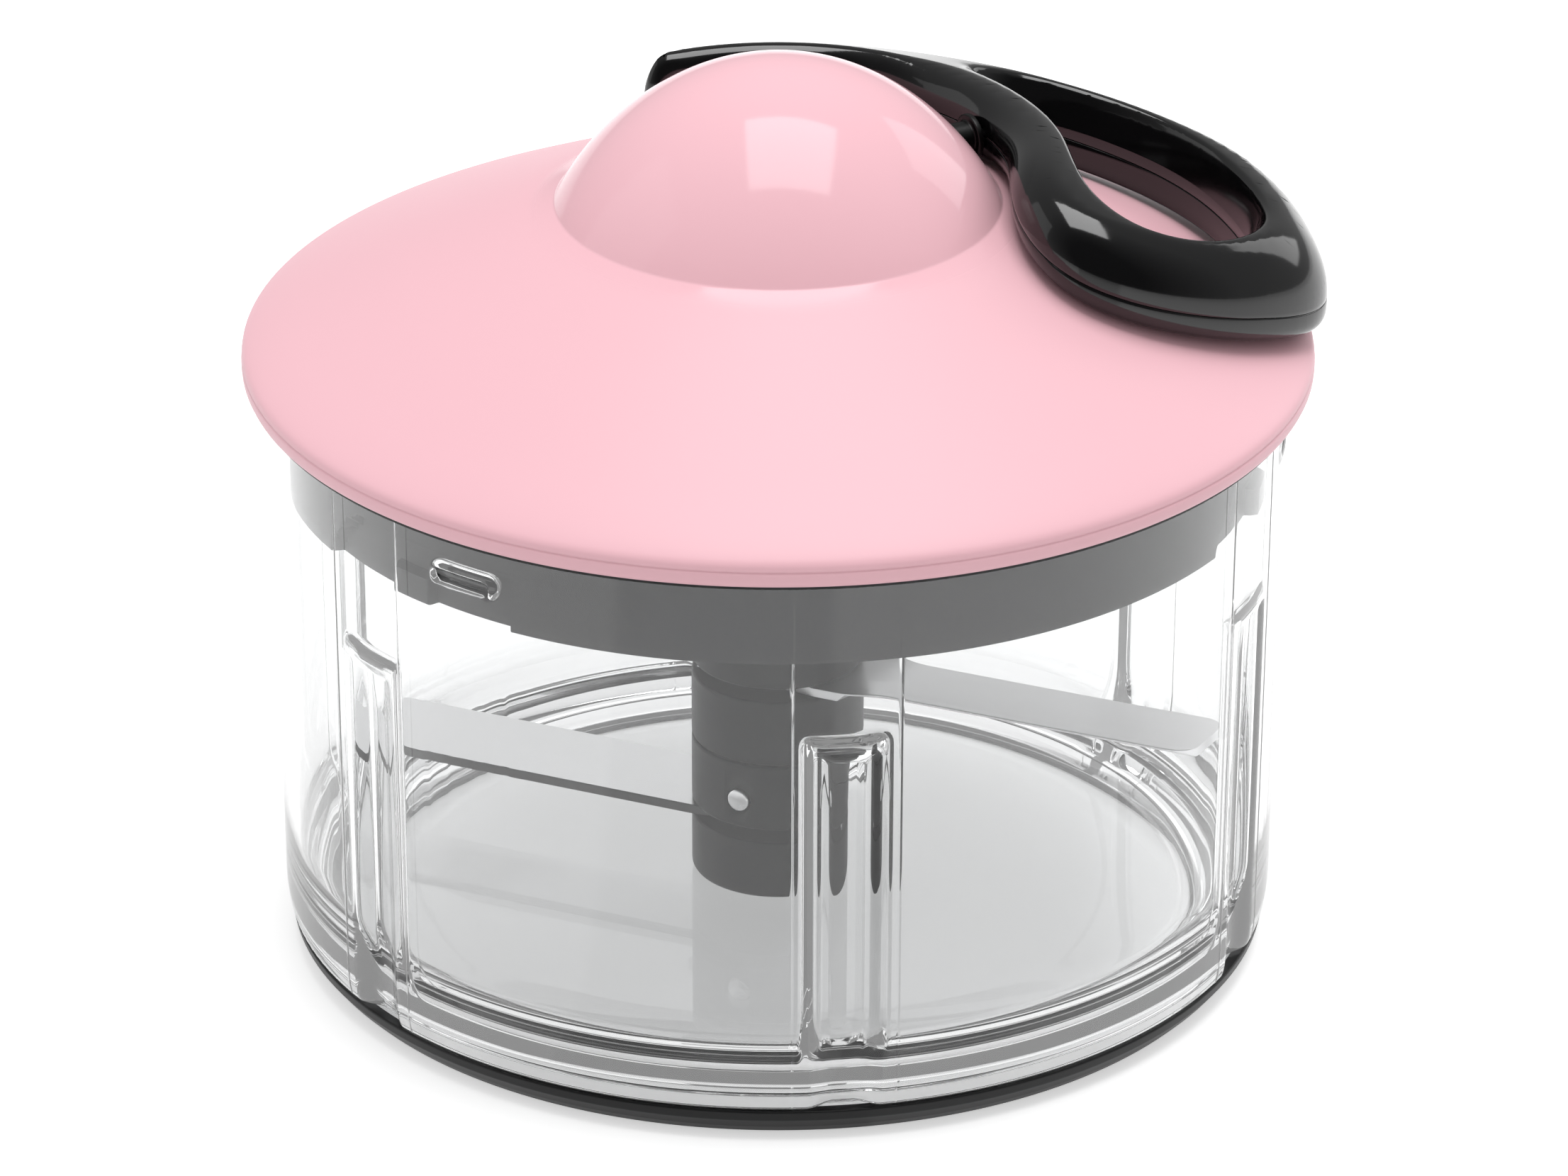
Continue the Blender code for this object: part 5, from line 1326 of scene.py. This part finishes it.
class CHOPPER_OT_stage(bpy.types.Operator):
    """Make the camera, the lights and the pale floor"""

    bl_idname = "chopper.stage"
    bl_label = "Stage"

    def execute(self, context):
        scene = context.scene
        size = scene.chopper_stage
        data = bpy.data.cameras.new("Camera")
        data.sensor_width = 36.0
        data.lens = size.lens
        data.clip_start = 0.05
        data.clip_end = 50.0
        camera = bpy.data.objects.new("Camera", data)
        scene.collection.objects.link(camera)
        aim = Vector(CAMERA_AIM) * MM
        back = Vector((0, -math.cos(size.elevation), math.sin(size.elevation)))
        camera.location = aim + back * size.distance
        look = (-back).to_track_quat("-Z", "Y").to_matrix().to_4x4()
        camera.matrix_world = Matrix.Translation(camera.location) @ look @ Matrix.Rotation(
            math.radians(CAMERA_ROLL), 4, "Z")
        scene.camera = camera
        self.make_floor()
        self.make_world(scene)
        self.make_lights(scene)
        scene.view_settings.view_transform = "Standard"
        return {"FINISHED"}

    def make_floor(self):
        bm = bmesh.new()
        bmesh.ops.create_circle(bm, cap_ends=True, segments=96, radius=6.0)
        floor = built("floor", bm)
        floor.data.transform(Matrix.Translation((0, 0, -0.0002)))
        mat, shader = finish("Pale floor", (0.86, 0.86, 0.86))
        shader.inputs["Roughness"].default_value = 0.6
        tree = mat.node_tree
        path = tree.nodes.new("ShaderNodeLightPath")
        through = maths(tree, "MULTIPLY", path.outputs["Is Transmission Ray"], FLOOR_THROUGH)
        mirrored = maths(tree, "MULTIPLY", path.outputs["Is Glossy Ray"], self.sides(tree))
        shown = maths(tree, "MULTIPLY", path.outputs["Is Camera Ray"], FLOOR_SHOWN)
        seen = maths(tree, "MAXIMUM", maths(tree, "MAXIMUM", shown, through), mirrored)
        shader.inputs["Emission Color"].default_value = (1, 1, 1, 1)
        feed(tree, shader.inputs["Emission Strength"], seen)
        floor.data.materials.append(mat)

    def sides(self, tree):
        """Where the table glows in gloss: all round, except before the camera."""
        parts = node(tree, "ShaderNodeSeparateXYZ", {0: object_place(tree)})
        ahead = maths(tree, "MULTIPLY", parts.outputs["Y"], -1.0)
        slant = maths(tree, "DIVIDE", parts.outputs["X"], ahead)
        left = spread(tree, slant, -0.61, -0.57, 1.0, 0.0)
        right = spread(tree, slant, 0.17, 0.20, 0.0, 1.0)
        behind = spread(tree, ahead, 0.05, 0.09, 1.0, 0.0)
        lit = maths(tree, "MAXIMUM", maths(tree, "MAXIMUM", left, right), behind)
        return maths(tree, "MULTIPLY", lit, FLOOR_MIRRORED)

    def make_world(self, scene):
        """White where it is seen, soft light from above, and dark behind the camera."""
        world = bpy.data.worlds.new("Studio")
        scene.world = world
        world.use_nodes = True
        tree = world.node_tree
        background = tree.nodes["Background"]
        background.inputs["Color"].default_value = (1, 1, 1, 1)
        toward = tree.nodes.new("ShaderNodeTexCoord").outputs["Generated"]
        parts = node(tree, "ShaderNodeSeparateXYZ", {0: toward})
        path = tree.nodes.new("ShaderNodeLightPath")
        ambient = spread(tree, parts.outputs["Z"], 0.0, 1.0, 0.47, 0.74)
        front = node(
            tree, "ShaderNodeVectorMath", {0: toward, 1: FRONT},
            operation="DOT_PRODUCT")
        mirrored = spread(tree, front.outputs["Value"], 0.25, 0.85, 0.34, 0.06)
        clear = spread(tree, front.outputs["Value"], 0.1, 0.6, 1.0, 0.2)
        white = maths(tree, "MAXIMUM", path.outputs["Is Camera Ray"], maths(
            tree, "MULTIPLY", path.outputs["Is Transmission Ray"], clear))
        shine = maths(tree, "MULTIPLY", path.outputs["Is Glossy Ray"], mirrored)
        soft = maths(tree, "MULTIPLY", path.outputs["Is Diffuse Ray"], ambient)
        seen = maths(tree, "MAXIMUM", maths(tree, "MAXIMUM", white, shine), soft)
        feed(tree, background.inputs["Strength"], seen)

    def make_lights(self, scene):
        for name, spot, aim, width, height, radiance in LAMPS:
            data = bpy.data.lights.new(name, "AREA")
            data.shape = "RECTANGLE"
            data.size = width
            data.size_y = height
            data.energy = radiance * math.pi * width * height
            lamp = bpy.data.objects.new(name, data)
            scene.collection.objects.link(lamp)
            lamp.location = spot
            toward = Vector(aim) - Vector(spot)
            lamp.rotation_euler = toward.to_track_quat("-Z", "Y").to_euler()


CAMERA_AIM = (0.77, 0.0, 44.55)
CAMERA_ROLL = 0.08
FRONT = (0.0, -0.93, 0.36)
# How bright the floor is through clear plastic, in gloss and to the camera
FLOOR_THROUGH, FLOOR_MIRRORED, FLOOR_SHOWN = 0.48, 0.35, 0.5
# Name, place, aim, width, height and radiance
LAMPS = (
    ("Top card", (0.115, 0.05, 1.31), (0.115, 0.05, 0.0), 0.79, 0.84, 5.0),
    ("Left", (-1.2, 0.1, 0.6), (0.0, 0.0, 0.08), 0.9, 1.1, 0.45),
    ("Right", (1.0, 0.85, 0.6), (0.0, 0.0, 0.1), 0.55, 0.7, 1.5),
)


class CHOPPER_PT_panel(bpy.types.Panel):
    """Buttons that build the chopper"""

    bl_label = "Food Chopper"
    bl_idname = "CHOPPER_PT_panel"
    bl_space_type = "VIEW_3D"
    bl_region_type = "UI"
    bl_category = "Chopper"

    def draw(self, context):
        for name in STEPS:
            self.layout.operator(f"chopper.{name}")


STEPS = ("stage", "bowl", "base", "blades", "lid_shell", "lid_base", "handle", "cord")
GROUPS = {
    "chopper_colours": ChopperColours, "chopper_bowl": ChopperBowl,
    "chopper_lid": ChopperLid, "chopper_handle": ChopperHandle,
    "chopper_stage": ChopperStage,
}
CLASSES = (
    *GROUPS.values(), CHOPPER_OT_stage, CHOPPER_OT_bowl, CHOPPER_OT_base,
    CHOPPER_OT_blades, CHOPPER_OT_lid_shell, CHOPPER_OT_lid_base, CHOPPER_OT_handle,
    CHOPPER_OT_cord, CHOPPER_PT_panel)


def register():
    for item in CLASSES:
        bpy.utils.register_class(item)
    for name, group in GROUPS.items():
        setattr(bpy.types.Scene, name, PointerProperty(type=group))


def unregister():
    for name in GROUPS:
        delattr(bpy.types.Scene, name)
    for item in reversed(CLASSES):
        bpy.utils.unregister_class(item)


def main():
    register()
    FINISHES.update(make_finishes(bpy.context.scene.chopper_colours))
    for name in STEPS:
        getattr(bpy.ops.chopper, name)()


if __name__ == "__main__":
    main()
